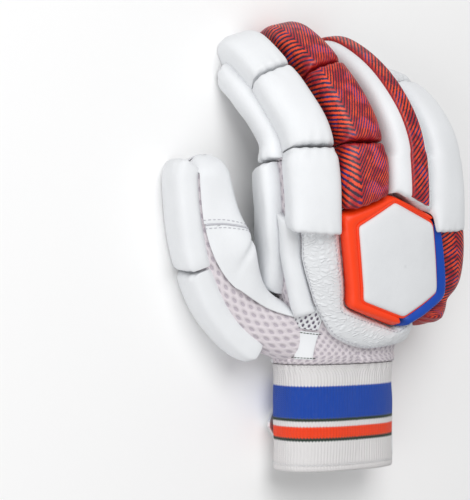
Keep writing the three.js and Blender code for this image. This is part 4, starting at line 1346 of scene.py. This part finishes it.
class GLOVE_OT_hand(bpy.types.Operator):
    """Make the mesh hand, open at the wrist, and the leather palm under it"""

    bl_idname = "glove.make_hand"
    bl_label = "Hand and palm"

    def execute(self, context):
        v = ring_angles(220)
        outer_rows = np.linspace(0.3, HAND_LENGTH - 0.3, 110)[:, None]
        inner_rows = np.linspace(0.3, HAND_LENGTH - 0.3, 40)[:, None]
        folds = 0.5 * np.exp(-outer_rows / 7) * np.sin(np.radians(v) * 46)
        gather = folds + 1.5 * np.exp(-(((outer_rows - 3.5) / 3.5) ** 2))
        outer = hand_skin(outer_rows, v, gather)
        inner = hand_skin(inner_rows, v, -HAND_WALL)
        hand = surface("hand_mesh", tube_between(outer, inner), ring=True)
        # Painted shade: the mesh darkens towards the wrist, where it meets the cuff
        mark_crease_shade(hand, np.concatenate([outer_rows + 0 * v, 0 * inner_rows + NO_SEAM + 0 * v]), 4.0)
        open_where(hand, lambda points: inside_thumb(points, 3.0))
        dress(hand, context, "air_mesh", ["hand_shell"])
        self.palm(context)
        return {"FINISHED"}

    def palm(self, context):
        """The palm's leather: thin rounded loops between two angles, along the hand."""
        places, _, opened = end_rows(0.5, HAND_LENGTH - 0.4, 1.0, 1.0, 3, 1.6)
        across, up, down = pad_loop(150, 14.0, 14.0)
        middle, half = 270.0, 75.0
        centre = mix(CLEARANCE, CLEARANCE + LEATHER_WALL, 0.5)
        height = centre + LEATHER_WALL / 2 * (up - down) * opened[:, None]
        points = hand_skin(places[:, None], middle + half * across, height)
        palm = surface("palm_skin", points)
        open_where(palm, lambda places: inside_thumb(places, 0.0))
        dress(palm, context, "white_leather", ["palm_leather"])


class GLOVE_OT_cuff(bpy.types.Operator):
    """Make the ribbed knit cuff, gathered where it is sewn on, with its hem"""

    bl_idname = "glove.make_cuff"
    bl_label = "Knit cuff"

    def execute(self, context):
        v = ring_angles(300)
        y = np.linspace(-CUFF_LENGTH, -CLEARANCE, 64)[:, None]
        hem = np.exp(-(y + CUFF_LENGTH) / 1.2)
        top = np.exp((y + CLEARANCE) / 5.0)
        soft = 0.5 * ripple(v * 0.8, y, 5, 40.0)
        gather = 0.6 * top * np.sin(np.radians(v) * 40)
        height = soft + gather - 1.0 * hem - 0.5 * np.exp(-((y + CUFF_LENGTH - HEM_HEIGHT) / 0.7) ** 2)
        outer = hand_skin(0.0, v, np.minimum(height, 0.4))
        outer[..., 1] = y
        inner = hand_skin(0.0, v, -CUFF_WALL + 0.6 * hem)
        inner[..., 1] = y
        cuff = surface("cuff_knit", tube_between(outer, inner), ring=True)
        dress(cuff, context, "cuff_knit", ["knit_cuff"])
        thread = hand_skin(0.0, np.append(v, v[:1]), 0.25)
        thread[..., 1] = -CUFF_LENGTH + HEM_HEIGHT
        centre = thread.mean(axis=0)
        sewn = stitches("cuff_hem_stitches", [(thread, thread - centre)], stitch_spacing(context), radius=0.28)
        dress(sewn, context, "white_thread")
        return {"FINISHED"}


class GLOVE_OT_strap(bpy.types.Operator):
    """Make the wrist strap under the cuff and the pointed tab that closes over it"""

    bl_idname = "glove.make_strap"
    bl_label = "Strap and tab"

    def execute(self, context):
        middle = -CUFF_LENGTH + STRAP_SETBACK + STRAP_WIDTH / 2
        strap = self.band(*STRAP_ANGLES, CLEARANCE, STRAP_THICKNESS, middle, STRAP_WIDTH / 2, 0.0)
        made = surface("strap_band", on_the_floor(strap))
        dress(made, context, "strap_cloth", ["wrist_strap"])
        self.declare(made, strap, "knit_cuff")
        offset = 2 * CLEARANCE + STRAP_THICKNESS
        tab = self.band(*TAB_ANGLES, offset, TAB_THICKNESS, middle, STRAP_WIDTH / 2 - 1, TAB_POINT)
        made = surface("tab_band", on_the_floor(tab, 0.0))
        dress(made, context, "tab_cloth", ["strap_tab"])
        self.declare(made, tab, "wrist_strap")
        inset = 4.0
        edge = self.edge(*TAB_ANGLES, offset + TAB_THICKNESS, middle, STRAP_WIDTH / 2 - inset, TAB_POINT, inset)
        up = edge - np.array([0.0, middle, WRIST_HEIGHT])
        up[:, 1] = 0
        radius = 0.25
        edge[:, 2] = np.maximum(edge[:, 2], radius)
        sewn = stitches("tab_stitches", [(edge, up)], stitch_spacing(context), radius=radius)
        dress(sewn, context, "pale_piping")
        return {"FINISHED"}

    def declare(self, piece, points, under):
        """Does nothing; the band's flat size is not stated."""

    @staticmethod
    def half_at(x, tip, full, point):
        """Half the width at x: it grows from the tip to the full width over the point's length."""
        return full if point == 0 else np.minimum(full, full * (x - tip + 1.0) / point)

    def band(self, start, end, offset, thickness, middle, half, point):
        v = np.concatenate([[start, start], np.linspace(start, end, 90), [end, end]])[:, None]
        opened = opened_rows(90)[:, None]
        across, up, down = pad_loop(64, 16.0, 16.0)
        height = offset + thickness / 2 + thickness / 2 * (up - down) * opened
        points = hand_skin(0.0, v, height)
        tip = points[..., 0].min()
        width = self.half_at(points[..., 0].mean(axis=1, keepdims=True), tip, half, point)
        points[..., 1] = middle + np.maximum(width, 0.8) * across * opened
        return points

    def edge(self, start, end, height, middle, half, point, inset):
        """The stitched line inside the tab's edge: along one side, round the point and back."""
        v = np.linspace(start, end, 60)
        line = hand_skin(0.0, v, height)
        tip = line[:, 0].min()
        line = line[line[:, 0] > tip + inset * 1.4]
        width = self.half_at(line[:, 0] - inset, tip, half, point)
        upper, lower = line.copy(), line.copy()
        upper[:, 1] = middle + width
        lower[:, 1] = middle - width
        return np.vstack([upper[::-1], lower])


# Fingers

def stall_points(limb, radius, wall, columns, start, outer_count, inner_count):
    """Loops of a stall: its inside from the tip to the root, then its outside from the root to the tip."""
    v = ring_angles(columns)
    dome = limb.dome + radius * np.sin(np.radians(np.arange(10, 86, 9)))
    outer = np.concatenate([np.linspace(start, limb.dome, outer_count), dome])[:, None]
    inner = np.concatenate([np.linspace(start, limb.dome, inner_count), dome])[:, None]
    return np.concatenate([limb.skin(inner[::-1], v, -wall), limb.skin(outer, v, 0.0)])


class GLOVE_OT_stalls(bpy.types.Operator):
    """Make the mesh finger stalls, their punched leather fronts and the piping round the fronts"""

    bl_idname = "glove.make_stalls"
    bl_label = "Finger stalls"

    def execute(self, context):
        for finger in HAND.values():
            self.stall(context, finger)
            self.front(context, finger)
        return {"FINISHED"}

    def stall(self, context, finger):
        points = stall_points(finger, TIP_HALF_HEIGHT, STALL_WALL, 72, 0.3, 50, 16)
        stall = surface(f"{finger.name}_mesh", on_the_floor(points))
        mark_crease_shade(stall, np.full(points.shape[:2], NO_SEAM))
        dress(stall, context, "fine_mesh", [f"{finger.name}_stall"])

    def front(self, context, finger):
        """The front: a thin rounded loop whose half angle closes by a circle towards the fingertip."""
        end, curve, half = finger.dome + 9.0, 15.0, 40.0
        round_end = end - curve * np.cos(np.radians(np.arange(5, 90, 7)))
        places = np.concatenate([np.linspace(0.8, end - curve, 60), round_end])
        near = np.clip((places - (end - curve)) / curve, 0, 1)
        angle = half * np.sqrt(1 - near * near)
        across, up, down = pad_loop(64, 12.0, 12.0)
        height = CLEARANCE + LEATHER_WALL / 2 * (1 + up - down)
        points = finger.skin(places[:, None], 270 + angle[:, None] * across, height)
        front = surface(f"{finger.name}_grip", on_the_floor(points))
        dress(front, context, "punched_leather", [f"{finger.name}_front"])
        radius = millimetres(context.scene.glove_trim.piping_radius)
        line = np.concatenate([places, places[::-1]])
        side = np.concatenate([270 - angle, 270 + angle[::-1]])
        path = resampled(finger.skin(line, side, CLEARANCE + LEATHER_WALL), 160)
        up_at = path - resampled(finger.centre(line), 160)
        piping = welt(f"{finger.name}_piping", on_the_floor(path, radius), up_at, radius)
        dress(piping, context, "pale_piping")


ROLL_SHAPE = dict(taper=3.2, lowest=0.78, squareness=3.6, side=0.28, base=0.42)


def plate_edge(around):
    """Where along a finger the orange border's far edge lies, at a distance around the hand. Beyond the border
    it is far behind the finger's root."""
    outline = on_outline(np.linspace(4.9, 7.1, 60), border_edge)
    edge = np.interp(around, outline[:, 1], outline[:, 0], left=0.0, right=0.0)
    return edge - HAND_LENGTH + SEAM_GAP


class GLOVE_OT_rolls(bpy.types.Operator):
    """Make the padded rolls on the backs of the fingers, parted where the fingers bend"""

    bl_idname = "glove.make_rolls"
    bl_label = "Finger rolls"

    def execute(self, context):
        for finger in HAND.values():
            length = finger.roll_length()
            ends = [share * length - finger.reach for share in (0.0, *finger.splits, 1.0)]
            for i in range(len(ends) - 1):
                single = len(ends) == 2
                name = f"{finger.name}_roll" if single else f"{finger.name}_roll_{i + 1}"
                start = ends[i] + (SEAM_GAP / 2 if i else 0)
                end = ends[i + 1] - (SEAM_GAP / 2 if i < len(ends) - 2 else 0)
                shape = dict(ROLL_SHAPE)
                if i == 0:
                    shape["foot"] = lambda b: plate_edge(finger.w + b)
                made = limb_pad(finger, start, end, finger.roll_half_width, ROLL_THICKNESS, shape)
                finish, slot = "white_leather", "leather"
                if finger.name == "middle":
                    finish, slot = "hatched_roll", "patterned"
                elif name == "little_roll_2":
                    finish, slot = "embossed_leather", "embossed"
                padding(context, name, made, int(finger.w) + 100 * i + 400, finish)
        self.strip(context)
        return {"FINISHED"}

    def strip(self, context):
        """The ring finger's strip: a low crown along the top of its roll."""
        ring = HAND["ring"]
        margin = ROLL_END_TAPER / 2
        start, end = margin - ring.reach, ring.roll_length() - ring.reach - margin
        places, lifts, opened = end_rows(start, end, 3.0, 0.7, 5, 2.0)
        across, up, down = pad_loop(40, 4.0, 6.0)
        s = places[:, None]
        b = RING_STRIP["shift"] + RING_STRIP["width"] / 2 * across * opened[:, None]
        foot = np.maximum(plate_edge(ring.w + b) + 1.5 - start, 0)
        s = s + foot * (1 - smooth((s - start) / (0.6 * (end - start))))
        crown = ring.half_height(s) + CLEARANCE + ROLL_THICKNESS
        n = crown + RING_STRIP["thickness"] * (up * lifts[:, None]) - 2.5 * down
        points = ring.back_of(s, b, n)
        strip = surface("ring_strip_padding", on_the_floor(points))
        # Painted shade: the strip darkens towards its long edges
        mark_crease_shade(strip, np.minimum(1 - np.abs(across), 1) * RING_STRIP["width"] / 2 + 0 * s, 1.0)
        refined(dress(strip, context, "hatched_strip", ["ring_strip"]))


# Pads on the back of the hand

class GLOVE_OT_plate(bpy.types.Operator):
    """Make the six-sided back plate, its orange and blue borders and its thin orange rim"""

    bl_idname = "glove.make_plate"
    bl_label = "Back plate"
    # each border's colour, its start and end on the plate's outline, and the heights across it
    borders = (
        ("orange", 3.03, 6.97, [0.74, 0.88, 0.8, 0.42]),
        ("blue", 1.03, 2.97, [0.76, 0.96, 0.98, 0.7]),
    )

    def execute(self, context):
        self.plate(context)
        for seed, (colour, start, end, profile) in enumerate(self.borders, 21):
            made = band_pad(start, end, self.inside, self.outside, PLATE_THICKNESS, profile, 3.0, 0.7, 12.0)
            padding(context, f"hex_border_{colour}", made, seed, f"{colour}_leather", 0.3,
                    swells=False)
        return {"FINISHED"}

    @staticmethod
    def inside(place):
        return on_outline(place, lambda border: 0.1 + 0 * border)

    @staticmethod
    def outside(place):
        return on_outline(place, border_edge)

    def plate(self, context):
        """The plate: the outline drawn in to its middle over a low dome, and again under it."""
        places = len(PLATE_CORNERS) * np.arange(180) / 180
        outline = on_outline(places, lambda border: 0.0 * border)
        middle = np.array([PLATE_ALONG, PLATE_AROUND])
        top = np.linspace(0.04, 0.9, 16)
        edge = [0.94, 0.97, 0.985, 0.995, 1.0, 1.0, 0.995, 0.97, 0.8, 0.4, 0.1]
        edge_heights = [0.985, 0.95, 0.91, 0.85, 0.76, 0.3, 0.0, -0.05, -0.1, -0.1, -0.1]
        shares = np.concatenate([top, edge])
        heights = np.concatenate([1.0 + 0.05 * (1 - top**2), edge_heights])
        flat = middle + (outline - middle) * shares[:, None, None]
        points = back_point(flat[..., 0], flat[..., 1], 0.93 * PLATE_THICKNESS * heights[:, None])
        piece = surface("hex_plate_padding", points)
        # Painted shade: the plate darkens towards its outline, beside the borders
        mark_crease_shade(piece, (1 - shares)[:, None] * 30 + 0 * points[..., 0], 1.2)
        refined(dress(piece, context, "white_leather", ["hex_plate"]))
        rim_at = on_outline(places, lambda border: 0.5 * inner_edge(border))
        rim = back_point(rim_at[:, 0], rim_at[:, 1], 0.765 * PLATE_THICKNESS)
        under = back_point(rim_at[:, 0], rim_at[:, 1], 0.0)
        line = welt("plate_rim", rim, rim - under, 1.15, ring=True)
        dress(line, context, "orange_thread")


class GLOVE_OT_gauntlet(bpy.types.Operator):
    """Make the embossed gauntlet pad and the hatched outer pad beside the plate"""

    bl_idname = "glove.make_gauntlet"
    bl_label = "Gauntlet and outer pad"

    def execute(self, context):
        profile = [0.85, 1.0, 0.9, 0.6]
        gauntlet = band_pad(2.57, 5.18, self.inside, gauntlet_outside, GAUNTLET_THICKNESS, profile, 4.0, 0.6,
                            cols=96, rows=110)
        padding(context, "gauntlet_pad", gauntlet, 31, "embossed_leather", 0.8)
        self.strip(context)
        profile = [0.65, 0.92, 1.0, 0.85, 0.45]
        outer = band_pad(1.05, 2.45, self.inside, self.outside, OUTER_PAD_THICKNESS, profile, 6.0, 0.5)
        padding(context, "outer_pad", outer, 32, "hatched_pad", 0.4)
        return {"FINISHED"}

    def strip(self, context):
        """The smooth low strip along the gauntlet's thumb side, with no solid of its own."""
        points, _, from_seam, under = band_pad(
            3.9, 5.2, lambda place: self.beyond(place, SEAM_GAP), lambda place: self.beyond(place, 16.5),
            6.5, [0.7, 1.0, 0.95, 0.5], 4.0, 0.6, cols=48, rows=80,
        )
        piece = surface("gauntlet_side_padding", points)
        # Painted shade: the strip darkens towards its ends
        mark_crease_shade(piece, from_seam)
        to_swell(dress(piece, context, "white_leather"), under)

    @staticmethod
    def inside(place):
        return on_outline(place, outer_start)

    @staticmethod
    def outside(place):
        return on_outline(place, lambda border: outer_start(border) + OUTER_PAD_WIDTH)

    def beyond(self, place, distance):
        """A point outside the gauntlet's outer edge, straight away from the plate's middle."""
        edge = gauntlet_outside(place)
        middle = np.array([PLATE_ALONG, PLATE_AROUND])
        away = edge - middle
        return edge + away * distance / np.linalg.norm(away, axis=-1, keepdims=True)


class GLOVE_OT_side(bpy.types.Operator):
    """Make the bar pad, the strip beside the index finger and the blank tab on the thumb side"""

    bl_idname = "glove.make_side"
    bl_label = "Thumb side pads"

    def execute(self, context):
        bar = strip_pad(SIDE_BAR["start"], SIDE_BAR["end"], SIDE_BAR["middle"], SIDE_BAR["width"],
                        SIDE_BAR["thickness"], 6.0, 0.55, 3.4)
        padding(context, "side_bar", bar, 41, "white_leather")
        shape = dict(ROLL_SHAPE, squareness=2.6, base=0.5)
        index = HAND["index"]
        strip = limb_pad(IndexSide(index), SEAM_GAP, index.dome + 0.5 * TIP_HALF_HEIGHT,
                         lambda s: SIDE_STRIP["half_width"] + 0 * s, SIDE_STRIP["thickness"], shape)
        padding(context, "index_side_strip", strip, 42, "white_leather")
        self.tab(context)
        self.patch(context)
        return {"FINISHED"}

    def patch(self, context):
        """A small patch of open mesh above the tab: a thin rounded strip with a welt down each side."""
        start, end = SIDE_TAB["end"] + 2.0, SIDE_BAR["start"] - 2.0
        middle, half = SIDE_TAB["middle"] - 4.0, SIDE_TAB["width"] / 2 + 2.5
        points = thin_strip(start, end, 0.5, middle, half, 0.6, 48)
        dress(surface("side_patch_mesh", points), context, "open_mesh")
        along = np.linspace(start, end + 1.0, 24)
        for word, side in (("left", middle - half), ("right", middle + half)):
            path = back_point(along, side, CLEARANCE + 0.9)
            edge = welt(f"side_patch_edge_{word}", path, path - back_point(along, side, 0.0), 0.7)
            dress(edge, context, "white_thread")

    def tab(self, context):
        """The tab: a thin rounded strip on the mesh, sewn down along both ends with dark thread."""
        start, end, middle, half = SIDE_TAB["start"], SIDE_TAB["end"], SIDE_TAB["middle"], SIDE_TAB["width"] / 2
        points = thin_strip(start, end, 0.6, middle, half, SIDE_TAB["thickness"] / 2, 40)
        tab = surface("side_tab_cloth", points)
        dress(tab, context, "tab_cloth", ["side_tab"])
        lines = []
        across = middle + np.linspace(-half - 1, half + 1, 20)
        for place in (start + 1.2, end - 1.2):
            path = back_point(place, across, CLEARANCE + SIDE_TAB["thickness"] + 0.1)
            lines.append((path, path - back_point(place, across, 0.0)))
        sewn = stitches("side_tab_stitches", lines, 1.9, 1.8, 0.3)
        dress(sewn, context, "dark_thread")


class GLOVE_OT_thumb(bpy.types.Operator):
    """Make the thumb: its mesh stall, leather cap, leather gusset and two guard pads, with their seams"""

    bl_idname = "glove.make_thumb"
    bl_label = "Thumb"

    def execute(self, context):
        self.stall(context)
        self.leather_piece(context, "thumb_cap", self.seam_at, lambda v: THUMB.dome + CAP_REACH + 0 * v,
                           lambda s: CAP_HIGH + CAP_HIGH_CLOSING * self.closing(s))
        self.leather_piece(context, "thumb_leather", lambda v: 2.0 + 0 * v,
                           lambda v: self.seam_at(v) - SEAM_GAP,
                           lambda s: mix(*GUSSET_HIGH, smooth(s / GUSSET_LENGTH)))
        end = THUMB.dome + math.radians(GUARD_WRAP) * THUMB_HALF_HEIGHT[1]
        middle = mix(GUARD_START, end, GUARD_SPLIT)
        shape = dict(taper=4.0, lowest=0.6, squareness=3.0, side=GUARD_EDGE, base=0.4)
        spans = {
            "thumb_guard_lower": (GUARD_START, middle - SEAM_GAP / 2),
            "thumb_guard_upper": (middle + SEAM_GAP / 2, end),
        }
        for seed, (name, (low, high)) in enumerate(spans.items()):
            made = limb_pad(THUMB, low, high, lambda s: GUARD_HALF_WIDTH + 0 * s, GUARD_THICKNESS, shape)
            padding(context, name, made, 51 + seed, "white_leather")
        self.seam(context)
        return {"FINISHED"}

    def stall(self, context):
        points = stall_points(THUMB, THUMB_HALF_HEIGHT[1], THUMB_WALL, 90, 0.5, 80, 24)
        points[..., 1] = np.maximum(points[..., 1], CLEARANCE)
        stall = surface("thumb_mesh", on_the_floor(points))
        mark_crease_shade(stall, np.full(points.shape[:2], NO_SEAM))
        dress(stall, context, "air_mesh", ["thumb_stall"])

    def seam_at(self, v):
        """Where the cap meets the gusset: nearer the tip on the guards' side, by a slant with soft ends."""
        return mix(0.0, THUMB.dome, 5 / 7) + 11.0 * np.sin(np.radians(np.clip(v - 290.0, -90, 90)))

    @staticmethod
    def closing(s):
        """How far the leather has closed round the tip, from 0 at the dome's start to 1."""
        return smooth((s - THUMB.dome) / CAP_CLOSING_LENGTH)

    @staticmethod
    def slack(s, v):
        """How far loose leather stands off: soft folds, and a bell-shaped bulge on the hand's side."""
        bulge = np.exp(-(((s - BULGE["along"]) / BULGE["length"]) ** 2))
        bulge = bulge * np.exp(-(((v - BULGE["angle"]) / BULGE["width"]) ** 2))
        folds = SLACK["depth"] * (1 + ripple(v * 0.35, s, SLACK["seed"], SLACK["wavelength"]))
        return folds + BULGE["depth"] * bulge

    @staticmethod
    def crease(s, v):
        """A slanting crease across the bulge, from 1 along its middle to 0."""
        along = s - CREASE["along"] + CREASE["slant"] * (v - CREASE["pivot"])
        beside = (v - CREASE["angle"]) / CREASE["width"]
        return np.exp(-((along / CREASE["length"]) ** 2)) * np.exp(-(beside**2))

    def leather_piece(self, context, name, start, end, high):
        """Leather on the thumb as a thin loop. Its rows run between two places that change with the angle, its
        far edge lies at an angle that changes along, and it stands off in soft slack folds towards the hand."""
        share = np.concatenate([[0, 0], np.linspace(0, 1, 90), [1, 1]])[:, None]
        opened = np.concatenate([[0.9, 0.97], np.ones(90), [0.97, 0.9]])[:, None]
        across, up, down = pad_loop(150, 14.0, 14.0)
        near = mix(start(np.array(290.0)), end(np.array(290.0)), share)
        low = LEATHER_LOW - LEATHER_LOW_CLOSING * self.closing(near)
        v = mix(low, high(near), (1 + across * opened) / 2)
        s = mix(start(v), end(v), share)
        crease = self.crease(s, v)
        slack = self.slack(s, v) - CREASE["depth"] * crease
        height = CLEARANCE + LEATHER_WALL / 2 * (1 + (up - down) * opened) + np.maximum(slack, 0)
        points = THUMB.skin(s, v, height)
        points[..., 1] = np.maximum(points[..., 1], CLEARANCE)
        piece = surface(f"{name}_skin", on_the_floor(points))
        # Painted shade along the cap's seam and in the crease of the slack leather
        from_seam = np.minimum(np.abs(s - self.seam_at(v)), 3.5 * (1 - crease))
        mark_crease_shade(piece, from_seam, 1.5)
        dress(piece, context, "white_leather", [name])

    def seam(self, context):
        """A raised welt round the thumb where the cap meets the gusset, with stitches on each side."""
        v = np.linspace(207.0, 383.0, 90)

        def line_at(offset, lift, floor):
            s = self.seam_at(v) + offset
            path = THUMB.skin(s, v, CLEARANCE + LEATHER_WALL + self.slack(s, v) + lift)
            return on_the_floor(path, floor), path - THUMB.centre(s)

        path, up = line_at(-SEAM_GAP / 2, -0.1, 0.7)
        dress(welt("thumb_seam", path, up, 0.7), context, "pale_piping")
        rows = [line_at(offset, 0.15, 0.4) for offset in (-3.0, 2.6)]
        sewn = stitches("thumb_stitches", rows, stitch_spacing(context))
        dress(sewn, context, "pale_piping")


class GLOVE_OT_swell(bpy.types.Operator):
    """Swell the pads by a short cloth simulation under pressure, their undersides pinned, then round them"""

    bl_idname = "glove.swell_padding"
    bl_label = "Swell the padding"

    def execute(self, context):
        pads = {bpy.data.objects[name]: under for name, under in PADS.items()}
        self.simulate(context, pads)
        for piece in pads:
            refined(piece)
        self.sew(context)
        return {"FINISHED"}

    def sew(self, context):
        """Stitches on the gauntlet beside the orange border and along its outer edge."""
        gauntlet = bpy.data.objects["gauntlet_pad_padding"]
        place = np.linspace(2.75, 5.0, 150)
        inner = on_outline(place, lambda border: outer_start(border) + 3.2)
        outer = mix(on_outline(place, outer_start), gauntlet_outside(place), 0.9)
        rows = []
        for line in (inner, outer):
            base = back_point(line[:, 0], line[:, 1], 0.0)
            up = back_point(line[:, 0], line[:, 1], 5.0) - base
            rows.append((laid_on(gauntlet, base, up), up))
        sewn = stitches("gauntlet_stitches", rows, stitch_spacing(context), 2.0, 0.3)
        dress(sewn, context, "pale_piping")

    def simulate(self, context, pads):
        """Every pad is simulated in one sweep of frames, and no point moves further than the cap."""
        sizes = context.scene.glove_padding
        cap = millimetres(sizes.swell_cap) * MM
        for piece, under in pads.items():
            group = piece.vertex_groups.new(name="sewn")
            group.add(np.flatnonzero(under).tolist(), 1.0, "REPLACE")
            cloth = piece.modifiers.new("swelling", "CLOTH")
            cloth.settings.vertex_group_mass = "sewn"
            cloth.settings.use_pressure = True
            cloth.settings.uniform_pressure_force = sizes.pressure
            cloth.settings.effector_weights.gravity = 0
            cloth.settings.quality = 4
            cloth.collision_settings.use_collision = False
            cloth.point_cache.frame_start, cloth.point_cache.frame_end = 1, SWELL_FRAMES
        for number in range(1, SWELL_FRAMES + 1):
            context.scene.frame_set(number)
        graph = context.evaluated_depsgraph_get()
        for piece in pads:
            count = len(piece.data.vertices)
            before, after = np.zeros(3 * count), np.zeros(3 * count)
            piece.data.vertices.foreach_get("co", before)
            piece.evaluated_get(graph).data.vertices.foreach_get("co", after)
            moved = (after - before).reshape(-1, 3)
            far = np.linalg.norm(moved, axis=1, keepdims=True)
            held = moved * np.tanh(far / cap) * cap / np.maximum(far, 1e-12)
            places = before.reshape(-1, 3) + held
            places[:, 2] = np.maximum(places[:, 2], PRESSED * MM)
            piece.modifiers.remove(piece.modifiers["swelling"])
            piece.vertex_groups.clear()
            piece.data.vertices.foreach_set("co", places.reshape(-1))
            piece.data.update()
        context.scene.frame_set(1)


class GLOVE_OT_stage(bpy.types.Operator):
    """Make the pale floor, the soft light and the camera at the photograph's angle"""

    bl_idname = "glove.make_stage"
    bl_label = "Floor, light and camera"

    def execute(self, context):
        settings = context.scene.glove_stage
        self.floor()
        self.camera(context, settings)
        self.lights(context, settings)
        return {"FINISHED"}

    def floor(self):
        mesh = bpy.data.meshes.new("floor")
        half = 4.0
        corners = [(-half, -half, 0), (half, -half, 0), (half, half, 0), (-half, half, 0)]
        mesh.from_pydata(corners, [], [(0, 1, 2, 3)])
        floor = bpy.data.objects.new("floor", mesh)
        bpy.context.scene.collection.objects.link(floor)
        finish = Finish("pale_floor", 0.9)
        finish.shader.inputs["Base Color"].default_value = (0.92, 0.92, 0.92, 1)
        mesh.materials.append(finish.material)

    def camera(self, context, settings):
        """The camera stands off from the aim along its own back direction, moved so that the aim falls on its
        place in the photograph."""
        tilt, distance, pixel = settings.tilt, settings.distance, settings.scale
        back = np.array([-math.sin(tilt), 0.0, math.cos(tilt)])
        right = np.array([math.cos(tilt), 0.0, math.sin(tilt)])
        up = np.array([0.0, 1.0, 0.0])
        aim = ORIGIN + AIM * MM
        place = aim + back * distance
        place -= right * (AIM_PIXEL[0] - PHOTO_SIZE[0] / 2) * pixel
        place += up * (AIM_PIXEL[1] - PHOTO_SIZE[1] / 2) * pixel
        data = bpy.data.cameras.new("camera")
        data.sensor_fit = "VERTICAL"
        data.lens = data.sensor_height * distance / (PHOTO_SIZE[1] * pixel)
        data.clip_end = 20
        camera = bpy.data.objects.new("camera", data)
        turned = np.stack([right, up, back], axis=1)
        camera.matrix_world = Matrix([[*row, at] for row, at in zip(turned, place)] + [[0, 0, 0, 1]])
        context.scene.collection.objects.link(camera)
        context.scene.camera = camera

    def lights(self, context, settings):
        """A large soft light above the fingertips, a weaker one on the thumb side, and even surroundings."""
        for name, place, size, power in (
            ("key", (-0.5, 0.9, 1.6), 1.3, settings.key),
            ("fill", (-1.3, -0.5, 0.9), 1.2, 0.35 * settings.key),
        ):
            data = bpy.data.lights.new(name, "AREA")
            data.shape, data.size, data.energy = "DISK", size, power
            lamp = bpy.data.objects.new(name, data)
            lamp.location = place
            lamp.rotation_euler = (-Vector(place)).to_track_quat("-Z", "Y").to_euler()
            context.scene.collection.objects.link(lamp)
        world = bpy.data.worlds.new("surroundings")
        world.use_nodes = True
        sky = world.node_tree.nodes["Background"]
        sky.inputs["Color"].default_value = (1, 1, 1, 1)
        sky.inputs["Strength"].default_value = settings.sky
        context.scene.world = world
        context.scene.view_settings.view_transform = "Standard"


class GLOVE_PT_panel(bpy.types.Panel):
    """Lists the glove's pieces and settings in the sidebar"""

    bl_idname = "GLOVE_PT_panel"
    bl_label = "Batting glove"
    bl_space_type = "VIEW_3D"
    bl_region_type = "UI"
    bl_category = "Glove"

    def draw(self, context):
        for operator in OPERATORS:
            self.layout.operator(operator.bl_idname)
        for name, group in SETTINGS.items():
            box = self.layout.box()
            box.label(text=group.__doc__)
            for key in group.__annotations__:
                box.prop(getattr(context.scene, name), key)


OPERATORS = [
    GLOVE_OT_hand,
    GLOVE_OT_cuff,
    GLOVE_OT_strap,
    GLOVE_OT_stalls,
    GLOVE_OT_rolls,
    GLOVE_OT_plate,
    GLOVE_OT_gauntlet,
    GLOVE_OT_side,
    GLOVE_OT_thumb,
    GLOVE_OT_swell,
    GLOVE_OT_stage,
]
CLASSES = [*SETTINGS.values(), *OPERATORS, GLOVE_PT_panel]


def register():
    for one in CLASSES:
        bpy.utils.register_class(one)
    for name, group in SETTINGS.items():
        setattr(bpy.types.Scene, name, PointerProperty(type=group))


def unregister():
    for name in SETTINGS:
        delattr(bpy.types.Scene, name)
    for one in reversed(CLASSES):
        bpy.utils.unregister_class(one)


def main():
    register()
    for operator in OPERATORS:
        group, name = operator.bl_idname.split(".")
        getattr(getattr(bpy.ops, group), name)()


if __name__ == "__main__":
    main()
